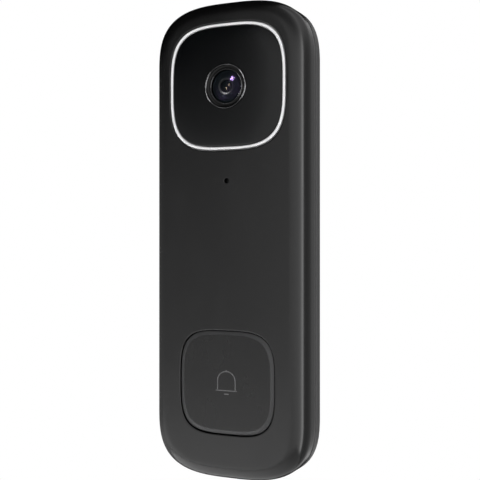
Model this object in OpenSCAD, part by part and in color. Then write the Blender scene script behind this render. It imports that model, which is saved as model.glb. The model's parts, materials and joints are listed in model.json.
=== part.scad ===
// Slim wired video doorbell: a glossy two-shell housing that hangs on a hooked wall plate.
// Millimetres. The wall is the plane y = 0, the face looks towards -Y, +Z is up, and the
// origin is the centre of the wall plate's back.

/* [Body] */
// Width of the housing
body_w = 45; // [44:0.5:54]
// Height of the housing
body_h = 130; // [128:1:150]
// Height of each curved end of the outline
end_rise = 18.5; // [17:0.5:22]
// Power of the superellipse that forms the ends, where 2 is an ellipse
end_power = 3.1; // [2.8:0.1:3.6]
// Depth of the front housing, from its face to the seam
front_depth = 8.5; // [8.4:0.1:11]
// Depth of the rear housing's rim, behind the seam
rear_depth = 3.9; // [3.8:0.1:6]
// Thickness of the side walls
wall = 2; // [1.8:0.1:2.2]
// Thickness of the front wall
front_wall = 2; // [1.8:0.1:2.2]
// Thickness of the rear wall
rear_wall = 1.5; // [1.2:0.1:1.6]
// How far the rounded front edge reaches in from the side
edge_in = 4.4; // [3:0.2:5]
// How far the rounded front edge reaches back from the face
edge_deep = 5.5; // [4:0.5:6.5]
// Power of the rounded front edge's section
edge_power = 2.5; // [2:0.1:3]
// Width of the softened back edge
back_edge = 0.8; // [0.4:0.1:1.2]
// Height of the rear housing's lip inside the front housing
lip_rise = 1.6; // [1.2:0.1:1.8]
// Thickness of the gasket ahead of the lip
gasket_t = 0.8; // [0.6:0.1:1]

/* [Light ring and window] */
// Distance from the housing's side to the middle of the light ring's band
ring_side = 5.8; // [5.6:0.1:6.3]
// Distance from the housing's top to the middle of the light ring's band
ring_top = 6.8; // [6.6:0.1:7.2]
// Width of the band that shows
ring_band = 1; // [0.6:0.1:1.1]
// How far the band's rounded crest stands ahead of the face
ring_crest = 0.3; // [0.1:0.1:0.4]
// Power of the ring's outline, where 2 is a circle
ring_power = 3.4; // [3:0.1:4]
// How far the ring's foot spreads to each side of its band
ring_foot = 0.8; // [0.6:0.1:1]
// Thickness of the ring's foot
ring_foot_t = 1.4; // [1:0.1:1.5]
// Thickness of the camera window
window_t = 1.6; // [1.4:0.1:1.8]
// Rise of the window's domed face at its middle
window_dome = 0.5; // [0.3:0.1:0.7]
// Number of white lamps round the ring
ring_led_count = 16; // [12:4:20]

/* [Camera] */
// Outer diameter of the bezel round the lens
bezel_d = 12.1; // [11.6:0.1:12.6]
// How far the bezel stands ahead of the face
bezel_proud = 0.8; // [0.6:0.1:1]
// Diameter of the front lens
lens_d = 9.2; // [8.8:0.1:9.6]
// Outer diameter of the lens barrel
barrel_d = 10.4; // [10:0.1:10.8]
// Thickness of the lens barrel's tube
barrel_wall = 0.9; // [0.7:0.1:1]
// Width of the lens holder's square foot
holder_w = 14; // [13.5:0.1:14.5]
// Width of the camera board
camera_board_w = 17; // [16.5:0.5:18]
// Thickness of the camera and lamp boards
small_board_t = 0.8; // [0.6:0.1:1]

/* [Doorbell button] */
// Height of the button's centre above the bottom of the housing
button_rise = 26.6; // [26.2:0.2:27]
// Half width of the button
button_half = 13.85; // [13.4:0.05:13.95]
// Power of the button's outline
button_power = 3.7; // [3.2:0.1:4]
// Gap round the button
button_gap = 0.3; // [0.2:0.05:0.35]
// Travel of the button
button_travel = 0.6; // [0.4:0.1:0.7]
// Width of the bevel round the button's face
button_bevel = 1.2; // [0.8:0.1:1.6]
// Depth of that bevel
button_bevel_deep = 0.35; // [0.2:0.05:0.5]
// How far the button's flange hooks behind the front wall
button_flange = 1.1; // [0.8:0.1:1.2]
// Thickness of the button's flange and face
button_wall = 0.8; // [0.7:0.1:1]
// Thickness of the rubber membrane behind the button
membrane_t = 0.5; // [0.4:0.1:0.6]

/* [Boards] */
// Distance from the front wall to the main board
board_stand = 4.4; // [4.3:0.1:4.8]
// Thickness of the main board
board_t = 1.2; // [1:0.1:1.4]
// Distance from the housing's side to the main board
board_side = 7.5; // [7.3:0.1:7.7]
// Distance from the lamp board down to the main board's top edge
board_drop = 2.7; // [2.5:0.1:2.9]
// Distance from the speaker up to the main board's bottom edge
board_rise = 4.5; // [4:0.1:5]

/* [Sound] */
// Distance from the light ring's band down to the microphone port
mic_drop = 8.7; // [8.4:0.1:9.2]
// Diameter of the microphone port
mic_d = 1.4; // [1:0.1:1.8]
// Width of the speaker
speaker_w = 21; // [19:0.5:22]
// Depth of the speaker
speaker_deep = 6.4; // [6:0.1:6.6]
// Height of the speaker's frame
speaker_rise = 4; // [3.6:0.1:4.2]
// Number of sound slots in the underside
vent_count = 5; // [3:2:7]

/* [Wall plate] */
// Depth of the wall plate
plate_depth = 5.3; // [5.2:0.1:6.5]
// How far the wall plate sits inside the housing's outline
plate_inset = 3; // [2.8:0.1:3.2]
// Thickness of the wall plate's back and rim
plate_wall = 1.6; // [1.4:0.1:1.8]
// Distance from each end of the housing to its wall screw
wall_screw_end = 21; // [20.5:0.5:23]
// Diameter of the wall screw holes
screw_hole_d = 4.4; // [4:0.1:5]
// Angle by which the doorbell tilts off the plate
tilt_max = 18; // [10:1:20]
// Distance from the housing's top down to the hinge
hinge_drop = 8.5; // [8:0.1:9]
// Radius of the hinge bead on the plate's hook
bead_r = 1.3; // [1.2:0.05:1.4]
// Width of the plate's hook
hook_w = 15; // [12:0.5:16]

/* [Connections] */
// Height of the terminals' centre below the middle of the housing
terminal_drop = 18; // [17:0.5:19]
// Gap between the terminal block and the board screws beside it
terminal_gap = 0.85; // [0.7:0.05:1]
// Distance from the main board's top edge down to the setup button's centre
setup_drop = 9; // [8.5:0.5:11]
// Travel of the setup button
setup_travel = 0.25; // [0.2:0.05:0.3]

/* [Fasteners] */
// Shank diameter of the housing screws
screw_d = 1.7; // [1.6:0.1:1.8]
// Head diameter of the housing screws
screw_head_d = 3.2; // [3:0.1:3.4]
// Outer radius of the screw bosses
boss_r = 2.1; // [2:0.05:2.2]

/* [Hidden] */
$fn = 48;

// Clearances between pieces
slip = 0.1;       // parts that are slid or dropped into place
snug = 0.02;      // shanks and pins in their holes, on the radius
hinge_play = 0.06;
seam_gap = 0.2;
swing_gap = 0.3;  // kept between the tilting doorbell and its plate

// Planes from the face back to the wall
mount_gap = 0.3;
front_y = -(front_depth + rear_depth + mount_gap + plate_depth);
seam_y = front_y + front_depth;
back_y = seam_y + rear_depth;
inner_y = front_y + front_wall;
inner_back_y = back_y - rear_wall;
bump_gap = 0.8;
bump_back_y = -(plate_wall + bump_gap);
plate_front_y = -plate_depth;

// Main board
board_y = inner_y + board_stand;
board_back_y = board_y + board_t;

// Outlines: how many points, and how far past a wall a cut runs
outline_steps = 72;
small_steps = 64;
past = 1;

// ---------------------------------------------------------------- shared shapes

// A signed power, which turns a circle's points into a superellipse's
function signed_power(v, e) = sign(v) * pow(abs(v), e);

// Points of a square superellipse
function squircle_points(half, power, steps = small_steps) = [
  for (i = [0:steps - 1]) let (a = 360 * (i + 0.5) / steps)
    half * [signed_power(cos(a), 2 / power), signed_power(sin(a), 2 / power)]
];

// Points of the housing's outline: straight sides between two superelliptic ends
function body_points(inset = 0, steps = outline_steps) = [
  for (i = [0:steps - 1]) let (a = 360 * (i + 0.5) / steps)
    [(body_w / 2 - inset) * signed_power(cos(a), 2 / end_power),
     sign(sin(a)) * (body_h / 2 - end_rise)
       + (end_rise - inset) * signed_power(sin(a), 2 / end_power)]
];

// The superelliptic round of an edge, as [inset, depth] pairs from the face to the side
function edge_profile(across, deep, power, steps) = [
  for (i = [0:steps]) let (a = 90 * (1 - i / steps))
    [across * (1 - pow(cos(a), 2 / power)), deep * (1 - pow(sin(a), 2 / power))]
];

// Extrudes an outline drawn in X and Z from depth y1 back to depth y2
module slab(y1, y2) {
  translate([0, y2, 0]) rotate([90, 0, 0]) linear_extrude(y2 - y1) children();
}

// A cylinder along Y
module rod(y1, y2, r, at = [0, 0]) {
  translate([at[0], y2, at[1]]) rotate([90, 0, 0]) cylinder(h = y2 - y1, r = r);
}

// A tube along Y
module tube(y1, y2, r_out, r_in, at = [0, 0]) {
  difference() {
    rod(y1, y2, r_out, at);
    rod(y1 - past, y2 + past, r_in, at);
  }
}

// A box given by its two corners
module block(low, high) {
  translate(low) cube(high - low);
}

module body_outline(inset = 0) {
  polygon(body_points(inset));
}

module squircle(half, power, at_z = 0) {
  translate([0, at_z]) polygon(squircle_points(half, power));
}

// A squircle-shaped washer in the X-Z plane
module squircle_frame(outer, inner, power, at_z) {
  difference() {
    squircle(outer, power, at_z);
    squircle(inner, power, at_z);
  }
}

// A rectangle with round corners, centred on a point
module rounded(size, r, at = [0, 0]) {
  translate(at) union() {
    square([size[0] - 2 * r, size[1]], center = true);
    square([size[0], size[1] - 2 * r], center = true);
    for (x = [-1, 1], z = [-1, 1])
      translate([x * (size[0] / 2 - r), z * (size[1] / 2 - r)]) circle(r);
  }
}

// A strip of constant thickness along a path, with round joints
module strip(path, t) {
  for (i = [0:len(path) - 2]) let (step = path[i + 1] - path[i])
    translate(path[i]) rotate(atan2(step[1], step[0]))
      translate([0, -t / 2]) square([norm(step), t]);
  for (p = path) translate(p) circle(d = t);
}

// A profile drawn in Y and Z, extruded across X
module across(x1, x2) {
  translate([x1, 0, 0]) rotate([90, 0, 90]) linear_extrude(x2 - x1) children();
}

// A closed solid through rings of equally many points, each ring at its own depth:
// sections is a list of [points in X and Z, y], from the front to the back
module loft(sections) {
  count = len(sections[0][0]);
  last = len(sections) - 1;
  points = [for (s = sections, p = s[0]) [p[0], s[1], p[1]]];
  sides = [
    for (k = [0:last - 1], i = [0:count - 1])
      let (a = k * count + i, b = k * count + (i + 1) % count)
        each [[a, b, b + count], [a, b + count, a + count]]
  ];
  front = [for (i = [count - 1:-1:0]) i];
  back = [for (i = [0:count - 1]) last * count + i];
  polyhedron(points, concat([front, back], sides));
}

// A screw along Y whose head rests on depth seat_y and whose shank points forward
module screw(at, seat_y, length, d, head_d, head_t) {
  difference() {
    union() {
      rod(seat_y - length, seat_y, d / 2, at);
      rod(seat_y, seat_y + head_t, head_d / 2, at);
    }
    translate([at[0], seat_y + head_t, at[1]]) rotate([90, 0, 0])
      cylinder(h = head_t * 0.6, d = head_d * 0.5, $fn = 6);
  }
}

// ---------------------------------------------------------------- placed details

// Housing screws: two at each end and two at the waist
end_boss = [body_w / 2 - 6.6, body_h / 2 - 6.9];
waist_boss_x = body_w / 2 - 4.7;
housing_boss_at = [
  for (x = [-1, 1]) each [
    [x * end_boss[0], end_boss[1]], [x * waist_boss_x, 0], [x * end_boss[0], -end_boss[1]]
  ]
];
boss_gap = 0.2;
front_boss_y = seam_y - boss_gap / 2;
rear_boss_y = seam_y + boss_gap / 2;
head_depth = 1.8;
head_t = 1.3;
head_seat_y = back_y - head_depth;
screw_length = 5.8;

// Light ring, window and lamp board
ring_half = body_w / 2 - ring_side;
camera_z = body_h / 2 - ring_top - ring_half;
ring_out = ring_half + ring_band / 2;
ring_in = ring_half - ring_band / 2;
foot_out = ring_out + ring_foot;
foot_in = ring_in - ring_foot;
foot_back_y = inner_y + ring_foot_t;
window_half = ring_in - slip / 2;
window_back_y = front_y + window_t;
lamp_t = 0.5;
lamp_board_y = foot_back_y + slip + lamp_t;
lamp_board_back_y = lamp_board_y + small_board_t;
lamp_board_half = foot_out - slip;
infrared_at = foot_in - 5.3;
light_sensor_drop = foot_in - 4.3;
ring_flex_z = camera_z - lamp_board_half + 0.6;

// Camera stack behind the window
lens_hole_d = bezel_d + 2 * slip;
bezel_front_y = front_y - bezel_proud;
bezel_back_y = window_back_y + 0.6;
bracket_y = lamp_board_back_y;
bracket_t = 1.2;
bracket_back_y = bracket_y + bracket_t;
camera_board_back_y = inner_back_y - 0.7;
camera_board_y = camera_board_back_y - small_board_t;
sensor_t = 0.7;
barrel_front_y = bezel_back_y + slip;
barrel_back_y = camera_board_y - sensor_t - 1.3;
barrel_hole_r = barrel_d / 2 + hinge_play;
ear_r = 1.8;
ear_x = foot_out - 1.5;
ear_z = camera_z - foot_out + 0.8;
bracket_ears = [
  [-ear_x, ear_z], [ear_x, ear_z], [0, body_h / 2 - wall - ear_r - slip]
];
small_screw_d = 1.4;
small_head_d = 2.6;
small_head_t = 0.9;
bracket_screw_bite = 1.8;

// Speaker, standing across the bottom end and facing down
speaker_y = inner_y + 0.5 + speaker_deep / 2;
speaker_seat_z = -(body_h / 2 - 2.9);
speaker_gasket_t = 0.6;
speaker_low_z = speaker_seat_z + speaker_gasket_t;
speaker_top_z = speaker_low_z + speaker_rise;
vent_pitch = 2.8;
vent_w = 1.3;
vent_deep = 3.2;

// Doorbell button
button_z = button_rise - body_h / 2;
button_hole = button_half + button_gap;
flange_half = button_hole + button_flange;
flange_back_y = inner_y + button_wall;
web_y = flange_back_y + button_travel + 0.2;
web_back_y = web_y + membrane_t;
rim_in = flange_half + 0.4;
rim_out = rim_in + 1.5;
retainer_t = 1;
retainer_back_y = web_back_y + retainer_t;
stake_r = 0.7;
stake_head_r = 1.2;
stake_head_t = 0.6;
stake_reach = flange_half + 0.45;
ear_w = 3;
stake_at = [for (x = [-1, 1], z = [-1, 1]) stake_reach * [x, z] + [0, button_z]];
switch_w = 6;
plunger_proud = 0.5;
plunger_travel = button_travel / 2;
switch_y = web_back_y + 0.25 + plunger_proud;
plunger_r = 1.4;

// Main board's outline, parts and screws
board_half_w = body_w / 2 - board_side;
board_top = camera_z - lamp_board_half - board_drop;
board_bottom = speaker_top_z + board_rise;
processor_z = -6;
can_size = [17, 17];
can_t = 0.25;
can_rise = 1.8;
capacitor_r = 2.9;
capacitor_length = 13;
connector_z = board_top - 4;
lamp_plug = [6, 2.2];
plug_rise = 1.2;
flex_t = 0.2;
coil_w = 9;
coil_rise = 4.2;
board_screw_in = 2.6;
board_screw_x = board_half_w - board_screw_in;
ring_flex_w = 4;
ring_flex_mid = -(board_screw_x - ear_r - 0.6) + ring_flex_w / 2;
ring_flex_x = [ring_flex_mid - ring_flex_w / 2, ring_flex_mid + ring_flex_w / 2];
board_screw_bite = 3;
board_screw_z = [board_top - board_screw_in, button_z + stake_reach + 2.9];
board_screw_at = [for (x = [-1, 1], z = board_screw_z) [x * board_screw_x, z]];
antenna_length = 20;
antenna_rise = 2.6;
antenna_t = 0.3;
antenna_low_z = (board_screw_z[0] + board_screw_z[1] - antenna_length) / 2;
antenna_teeth = 5;
mic_z = camera_z - ring_half - mic_drop;

// Wall plate's openings
wall_screw_z = body_h / 2 - wall_screw_end;
screw_pad_r = 4.2;
wire_opening = [15, 18];
pin_hole_d = 2;

// Rear bump that nests in the wall plate, with the terminals and the setup button
bump_half_w = body_w / 2 - 7.5;
bump_half_h = wall_screw_z - screw_pad_r - 5.8;
bump_r = 4;
bump_wall = 1.5;
bump_inner_y = bump_back_y - bump_wall;
capacitor_x = bump_half_w - bump_wall - capacitor_r - 2.4;
capacitor_low_z = bump_half_h - bump_wall - capacitor_length - 2.5;
camera_flex_half = capacitor_x - capacitor_r - 1.8;
camera_plug = [2 * camera_flex_half + 2, 2.6];
terminal_z = -terminal_drop;
terminal_w = 2 * (board_screw_x - small_head_d / 2 - terminal_gap);
terminal_spacing = terminal_w / 2 - 0.75;
terminal_plate_w = terminal_spacing - 1.9;
terminal_h = 10.5;
terminal_face_y = bump_back_y - 1.9;
terminal_head_r = 2.4;
terminal_head_t = 1.2;
setup_z = board_top - setup_drop;
setup_r = 2.3;
setup_play = 0.1;
setup_face_y = bump_back_y - 0.4;
setup_flange_t = 0.8;
setup_switch_t = 1.8;
setup_plunger_proud = 0.7;
setup_switch_back_y = board_back_y + setup_switch_t;

// Hook hinge
hinge_z = body_h / 2 - hinge_drop;
hinge_y = back_y - 2;
hook_t = 1.4;
hook_side_gap = 0.3;
socket_r = bead_r + 1.2;

// Latch at the bottom of the plate
latch_t = 0.4;
latch_w = 8;
latch_end = 8;
latch_leg = 7;
latch_z = latch_end - body_h / 2;
latch_foot_top = latch_z + latch_leg;
latch_ledge_t = 0.8;
latch_room = 1.6;
latch_stake_z = latch_foot_top - 2.2;

// ---------------------------------------------------------------- wall plate

// The space that the doorbell's back sweeps as it tilts, grown by the swing gap
module swing_space() {
  translate([0, hinge_y, hinge_z]) rotate([-tilt_max, 0, 0])
    translate([-body_w, -body_h, -past])
      cube([2 * body_w, body_h + back_y - hinge_y + swing_gap, body_h / 2]);
}

module wall_plate() color("#2b2c2e") {
  inner = plate_inset + plate_wall;
  difference() {
    union() {
      slab(-plate_wall, 0) body_outline(plate_inset);
      slab(plate_front_y, -plate_wall / 2) difference() {
        body_outline(plate_inset);
        body_outline(inner);
      }
      // raised lip round the wire opening, and pads round the screw holes
      slab(-plate_wall - 0.5, -plate_wall / 2)
        rounded(wire_opening + [3, 3], 3, [0, terminal_z]);
      for (z = [-1, 1])
        rod(-plate_wall - 0.6, -plate_wall / 2, screw_pad_r, [0, z * wall_screw_z]);
      // stiffening ribs from the screw pads towards the sides
      for (z = [-1, 1], x = [-1, 1])
        block([x * 11 - 5.5, -plate_wall - 0.6, z * wall_screw_z - 0.6],
              [x * 11 + 5.5, -plate_wall / 2, z * wall_screw_z + 0.6]);
    }
    slab(-plate_depth, past) rounded(wire_opening, 2, [0, terminal_z]);
    for (z = [-1, 1]) rod(-plate_depth, past, screw_hole_d / 2, [0, z * wall_screw_z]);
    swing_space();
    // way in for the release pin, between two drains
    for (x = [-10, 0, 10]) translate([x, (plate_front_y - plate_wall) / 2, -body_h / 2])
      cylinder(h = plate_inset + 3 * plate_wall, d = pin_hole_d);
  }
  // hook with its hinge bead
  block([-hook_w / 2, hinge_y, hinge_z - hook_t / 2],
        [hook_w / 2, -plate_wall / 2, hinge_z + hook_t / 2]);
  across(-hook_w / 2, hook_w / 2) translate([hinge_y, hinge_z]) circle(bead_r);
  // gussets under the hook
  for (x = [-1, 1]) across(x * hook_w / 3 - 0.6, x * hook_w / 3 + 0.6)
    polygon([[-plate_wall / 2, hinge_z], [plate_front_y + 1, hinge_z],
             [-plate_wall / 2, hinge_z - 4]]);
  // stake that holds the latch spring's foot
  rod(-plate_wall - latch_t - 0.9, -plate_wall / 2, 0.9, [0, latch_stake_z]);
  rod(-plate_wall - latch_t - 0.9, -plate_wall - latch_t - 0.3, 1.5, [0, latch_stake_z]);
}

// Stainless leaf: a foot on the plate, an arm forward and a barb behind the rear wall
module latch_spring() color("#b9bdc2") {
  foot_y = -plate_wall - 0.1 - latch_t / 2;
  barb_y = back_y - latch_ledge_t - 0.2 - latch_t / 2;
  difference() {
    across(-latch_w / 2, latch_w / 2)
      strip([[foot_y, latch_foot_top], [foot_y, latch_z], [barb_y, latch_z],
             [barb_y, latch_z - 1.1]], latch_t);
    rod(foot_y - past, foot_y + past, 0.9 + slip, [0, latch_stake_z]);
  }
}

// ---------------------------------------------------------------- housing

module shell_form() {
  profile = edge_profile(edge_in, edge_deep, edge_power, 8);
  loft(concat(
    [for (p = profile) [body_points(p[0]), front_y + p[1]]],
    [[body_points(), seam_y - seam_gap / 2 - 0.2],
     [body_points(0.2), seam_y - seam_gap / 2]]));
}

// Everything hollow in the front housing, as an outline with its posts left standing
module front_cavity(posts) {
  difference() {
    body_outline(wall);
    for (p = housing_boss_at) translate(p) circle(boss_r);
    for (x = [-1, 1]) translate([x * (waist_boss_x + 2), 0]) square([4, 1.6], center = true);
    if (posts) difference() {
      for (p = bracket_ears) translate(p) circle(ear_r);
      squircle(foot_out + slip, ring_power, camera_z);
    }
    if (posts) for (p = board_screw_at) translate(p) circle(ear_r);
    translate([-speaker_w / 2 - 1, -body_h / 2])
      square([speaker_w + 2, body_h / 2 + speaker_seat_z]);
  }
}

module front_housing() color("#17181a") {
  gasket_y = seam_y - lip_rise - gasket_t;
  difference() {
    shell_form();
    // the hollow, in three layers that leave posts of three lengths
    slab(inner_y, bracket_y) front_cavity(true);
    slab(bracket_y - 0.01, board_y) difference() {
      front_cavity(false);
      for (p = board_screw_at) translate(p) circle(ear_r);
    }
    slab(board_y - 0.01, seam_y + past) front_cavity(false);
    // posts of the bosses stop short of the rear housing's
    slab(front_boss_y, seam_y + past) body_outline(wall);
    // step for the gasket and the rear housing's lip
    slab(gasket_y, seam_y + past) difference() {
      body_outline(wall / 2 + slip);
      body_outline(wall + slip);
    }
    // seats of the light ring and of the button, and the microphone's port
    slab(front_y - past, inner_y + past) squircle(ring_out + slip, ring_power, camera_z);
    slab(front_y - past, inner_y + past) squircle(button_hole, button_power, button_z);
    rod(front_y - past, inner_y + past, mic_d / 2, [0, mic_z]);
    // pilot holes
    for (p = housing_boss_at)
      rod(head_seat_y - screw_length - 0.5, seam_y + past, screw_d / 2 + snug, p);
    for (p = bracket_ears) rod(inner_y - 0.4, seam_y, small_screw_d / 2 + snug, p);
    for (p = board_screw_at) rod(inner_y - 0.4, seam_y, small_screw_d / 2 + snug, p);
    // sound slots through the underside
    for (i = [0:vent_count - 1])
      translate([(i - (vent_count - 1) / 2) * vent_pitch, speaker_y, -body_h / 2 - past])
        linear_extrude(6) rounded([vent_w, vent_deep], vent_w / 2 - 0.01);
  }
  // stakes that the button's retainer is riveted to
  for (p = stake_at) {
    rod(inner_y - 0.5, retainer_back_y + slip, stake_r, p);
    rod(retainer_back_y + slip / 2, retainer_back_y + stake_head_t, stake_head_r, p);
  }
}

module rear_form() {
  steps = 4;
  profile = edge_profile(back_edge, back_edge, 2, steps);
  loft(concat(
    [[body_points(0.2), seam_y + seam_gap / 2], [body_points(), seam_y + seam_gap / 2 + 0.2]],
    [for (k = [steps:-1:0]) [body_points(profile[k][0]), back_y - profile[k][1]]]));
}

module rear_housing() color("#1f2022") {
  lip_y = seam_y - lip_rise;
  bump_size = 2 * [bump_half_w, bump_half_h];
  difference() {
    union() {
      difference() {
        rear_form();
        slab(seam_y - past, inner_back_y) body_outline(wall);
      }
      // lip that the front housing's step slides over
      slab(lip_y, seam_y + past) difference() {
        body_outline(wall / 2 + 2 * slip);
        body_outline(wall);
      }
      slab(back_y - rear_wall / 2, bump_back_y) rounded(bump_size, bump_r);
      for (p = housing_boss_at) rod(rear_boss_y, back_y - rear_wall / 2, boss_r, p);
      // hinge socket and latch pocket, closed towards the inside
      block([-hook_w / 2 - 1.6, hinge_y - socket_r, hinge_z - socket_r],
            [hook_w / 2 + 1.6, back_y - rear_wall / 2, hinge_z + socket_r]);
      block([-latch_w / 2 - 1.4, back_y - latch_ledge_t - latch_room - 0.8, latch_z - 3],
            [latch_w / 2 + 1.4, back_y - rear_wall / 2, latch_z + 2.2]);
    }
    // inside of the bump
    slab(inner_back_y - past, bump_inner_y)
      rounded(bump_size - 2 * bump_wall * [1, 1], bump_r - bump_wall);
    // housing screws
    for (p = housing_boss_at) {
      rod(rear_boss_y - past, back_y + past, screw_d / 2 + slip, p);
      rod(head_seat_y, back_y + past, screw_head_d / 2 + slip, p);
    }
    // terminal opening and setup button
    slab(bump_inner_y - past, bump_back_y + past)
      rounded([terminal_w + 2 * slip, terminal_h + 2 * slip], 1, [0, terminal_z]);
    rod(bump_inner_y - past, bump_back_y + past, setup_r + setup_play, [0, setup_z]);
    // bore of the hinge, with a mouth that lets the hook swing
    across(-hook_w / 2 - hook_side_gap, hook_w / 2 + hook_side_gap)
      translate([hinge_y, hinge_z]) circle(bead_r + hinge_play);
    across(-hook_w / 2 - hook_side_gap, hook_w / 2 + hook_side_gap)
      let (reach = back_y - hinge_y + past, low = hook_t / 2 + 0.15)
        translate([hinge_y, hinge_z])
          polygon([[0, -low], [reach, -low], [reach, low + reach * tan(tilt_max + 3)], [0, low]]);
    // room for the latch, and the ledge that its barb holds
    block([-latch_w / 2 - slip * 4, back_y - latch_ledge_t - latch_room, latch_z - 2.1],
          [latch_w / 2 + slip * 4, back_y - latch_ledge_t, latch_z + 1.3]);
    block([-latch_w / 2 - slip * 4, back_y - latch_ledge_t - past, latch_z - 0.5],
          [latch_w / 2 + slip * 4, back_y + past, latch_z + 1.3]);
  }
}

module housing_gasket() color("#3a3b3d") {
  slab(seam_y - lip_rise - gasket_t + slip / 2, seam_y - lip_rise - slip / 2) difference() {
    body_outline(wall / 2 + 2 * slip);
    body_outline(wall);
  }
}

module housing_screws() color("#8d9094") {
  for (p = housing_boss_at)
    screw(p, head_seat_y, screw_length, screw_d, screw_head_d, head_t);
}

// ---------------------------------------------------------------- ring and window

// The outer (side 1) or inner (side -1) wall of the ring's band, from its rounded crest back
function band_sections(side) = [
  for (a = [75, 50, 25, 0])
    [squircle_points(ring_half + side * ring_band / 2 * cos(a), ring_power),
     front_y - ring_crest * sin(a)]
];

module light_ring() color("#f4f5f6") {
  outer = band_sections(1);
  inner = band_sections(-1);
  translate([0, 0, camera_z]) difference() {
    loft(concat(outer, [[outer[3][0], inner_y + slip]]));
    loft(concat([[inner[0][0], front_y - ring_crest - past]], inner,
      [[inner[3][0], inner_y + slip + past]]));
  }
  slab(inner_y + slip / 2, foot_back_y)
    squircle_frame(foot_out, foot_in, ring_power, camera_z);
}

// Dark window with a faintly domed face
module camera_window() color("#0d1014") {
  outline = squircle_points(window_half, ring_power);
  steps = 5;
  difference() {
    translate([0, 0, camera_z]) loft(concat(
      [for (i = [0:steps - 1]) let (s = (i + 1) / steps)
        [s * outline, front_y - window_dome * (1 - s * s)]],
      [[outline, window_back_y]]));
    rod(bezel_front_y - past, window_back_y + past, lens_hole_d / 2, [0, camera_z]);
  }
}

module window_seal() color("#2a2a2c") {
  slab(window_back_y + 0.02, inner_y + slip / 2 - 0.02)
    squircle_frame(window_half - 0.1, foot_in + 0.1, ring_power, camera_z);
}

module ring_board() color("#1d5a3a") {
  difference() {
    slab(lamp_board_y, lamp_board_back_y)
      squircle(lamp_board_half, ring_power, camera_z);
    rod(lamp_board_y - past, lamp_board_back_y + past, holder_w / 2 + 0.4, [0, camera_z]);
  }
}

// White lamps, evenly spread along the ring
module ring_lamps() color("#fff6d8") {
  path = squircle_points(ring_half, ring_power, ring_led_count);
  for (p = path) translate([p[0], 0, p[1] + camera_z])
    block([-0.8, lamp_board_y - lamp_t, -0.5], [0.8, lamp_board_y, 0.5]);
}

module infrared_lamps() color("#3a2230") {
  for (x = [-1, 1], z = [-1, 1]) let (at = [x * infrared_at, camera_z + z * infrared_at]) {
    slab(lamp_board_y - 0.7, lamp_board_y) rounded([2.6, 2.6], 0.3, at);
    translate([at[0], lamp_board_y - 0.7, at[1]]) rotate([90, 0, 0])
      rotate_extrude() polygon([[0, 0], [1, 0], [0.9, 0.3], [0.6, 0.55], [0, 0.7]]);
  }
}

module light_sensor() color("#15171a") {
  slab(lamp_board_y - 0.8, lamp_board_y) rounded([2, 1.6], 0.2, [0, camera_z - light_sensor_drop]);
}

// ---------------------------------------------------------------- camera

// Bezel: a turned ring with a rounded crest, seated behind the window by a flange
module lens_bezel() color("#2d3035") {
  r = bezel_d / 2;
  lens_r = lens_d / 2 + slip / 2;
  translate([0, bezel_back_y, camera_z]) rotate([90, 0, 0]) rotate_extrude()
    let (h = bezel_back_y - bezel_front_y, foot = bezel_back_y - window_back_y - 0.03)
      polygon([[lens_r - 0.9, 0], [r + 0.9, 0], [r + 0.9, foot], [r, foot], [r, h - 0.45],
               [r - 0.15, h - 0.12], [r - 0.45, h], [r - 0.75, h - 0.1],
               [lens_r, h - 0.75], [lens_r, h - 2.1], [lens_r - 0.9, h - 2.5]]);
}

// A lens element turned about the optical axis, bulging at both faces
module lens_element(y1, y2, r, front_bulge, back_bulge) {
  steps = 6;
  translate([0, y2, camera_z]) rotate([90, 0, 0]) rotate_extrude()
    let (h = y2 - y1)
      polygon(concat(
        [for (i = [0:steps]) let (s = i / steps) [r * s, back_bulge * (s * s - 1)]],
        [for (i = [0:steps]) let (s = 1 - i / steps) [r * s, h + front_bulge * (1 - s * s)]]));
}

module front_lens() color("#101b24") {
  seat_y = bezel_front_y + 2.05;
  lens_element(seat_y - 1.2, seat_y, lens_d / 2, 0.75, 0);
}

module lens_barrel() color("#1a1b1d") {
  difference() {
    union() {
      rod(barrel_front_y, barrel_back_y, barrel_d / 2, [0, camera_z]);
      rod(barrel_front_y, barrel_front_y + 1, barrel_d / 2 + 0.6, [0, camera_z]);
    }
    rod(barrel_front_y - past, barrel_back_y + past, barrel_d / 2 - barrel_wall, [0, camera_z]);
  }
}

module rear_lenses() color("#9fc3cf") {
  r = barrel_d / 2 - barrel_wall - snug;
  lens_element(barrel_front_y + 0.8, barrel_front_y + 1.6, r, 0.3, 0.4);
  lens_element(barrel_front_y + 3.5, barrel_front_y + 4.2, r, 0.4, 0.3);
}

module aperture_stop() color("#050505") {
  y = barrel_front_y + 2.5;
  tube(y, y + 0.2, barrel_d / 2 - barrel_wall - snug, 1.1, [0, camera_z]);
}

module lens_holder() color("#202124") {
  foot_t = 1.6;
  difference() {
    union() {
      slab(camera_board_y - foot_t, camera_board_y - 0.01)
        rounded([holder_w, holder_w], 1.5, [0, camera_z]);
      rod(bracket_y - 0.4, camera_board_y - 0.5, holder_w / 2, [0, camera_z]);
    }
    rod(bracket_y - past, barrel_back_y + 0.3, barrel_hole_r, [0, camera_z]);
    slab(barrel_back_y, camera_board_y + past) rounded([8, 8], 0.5, [0, camera_z]);
  }
}

module image_sensor() color("#3c4a58") {
  slab(camera_board_y - sensor_t, camera_board_y) rounded([6.4, 5.2], 0.2, [0, camera_z]);
}

module camera_board() color("#1d5a3a") {
  slab(camera_board_y, camera_board_back_y)
    rounded([camera_board_w, camera_board_w], 1.5, [0, camera_z]);
}

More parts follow.
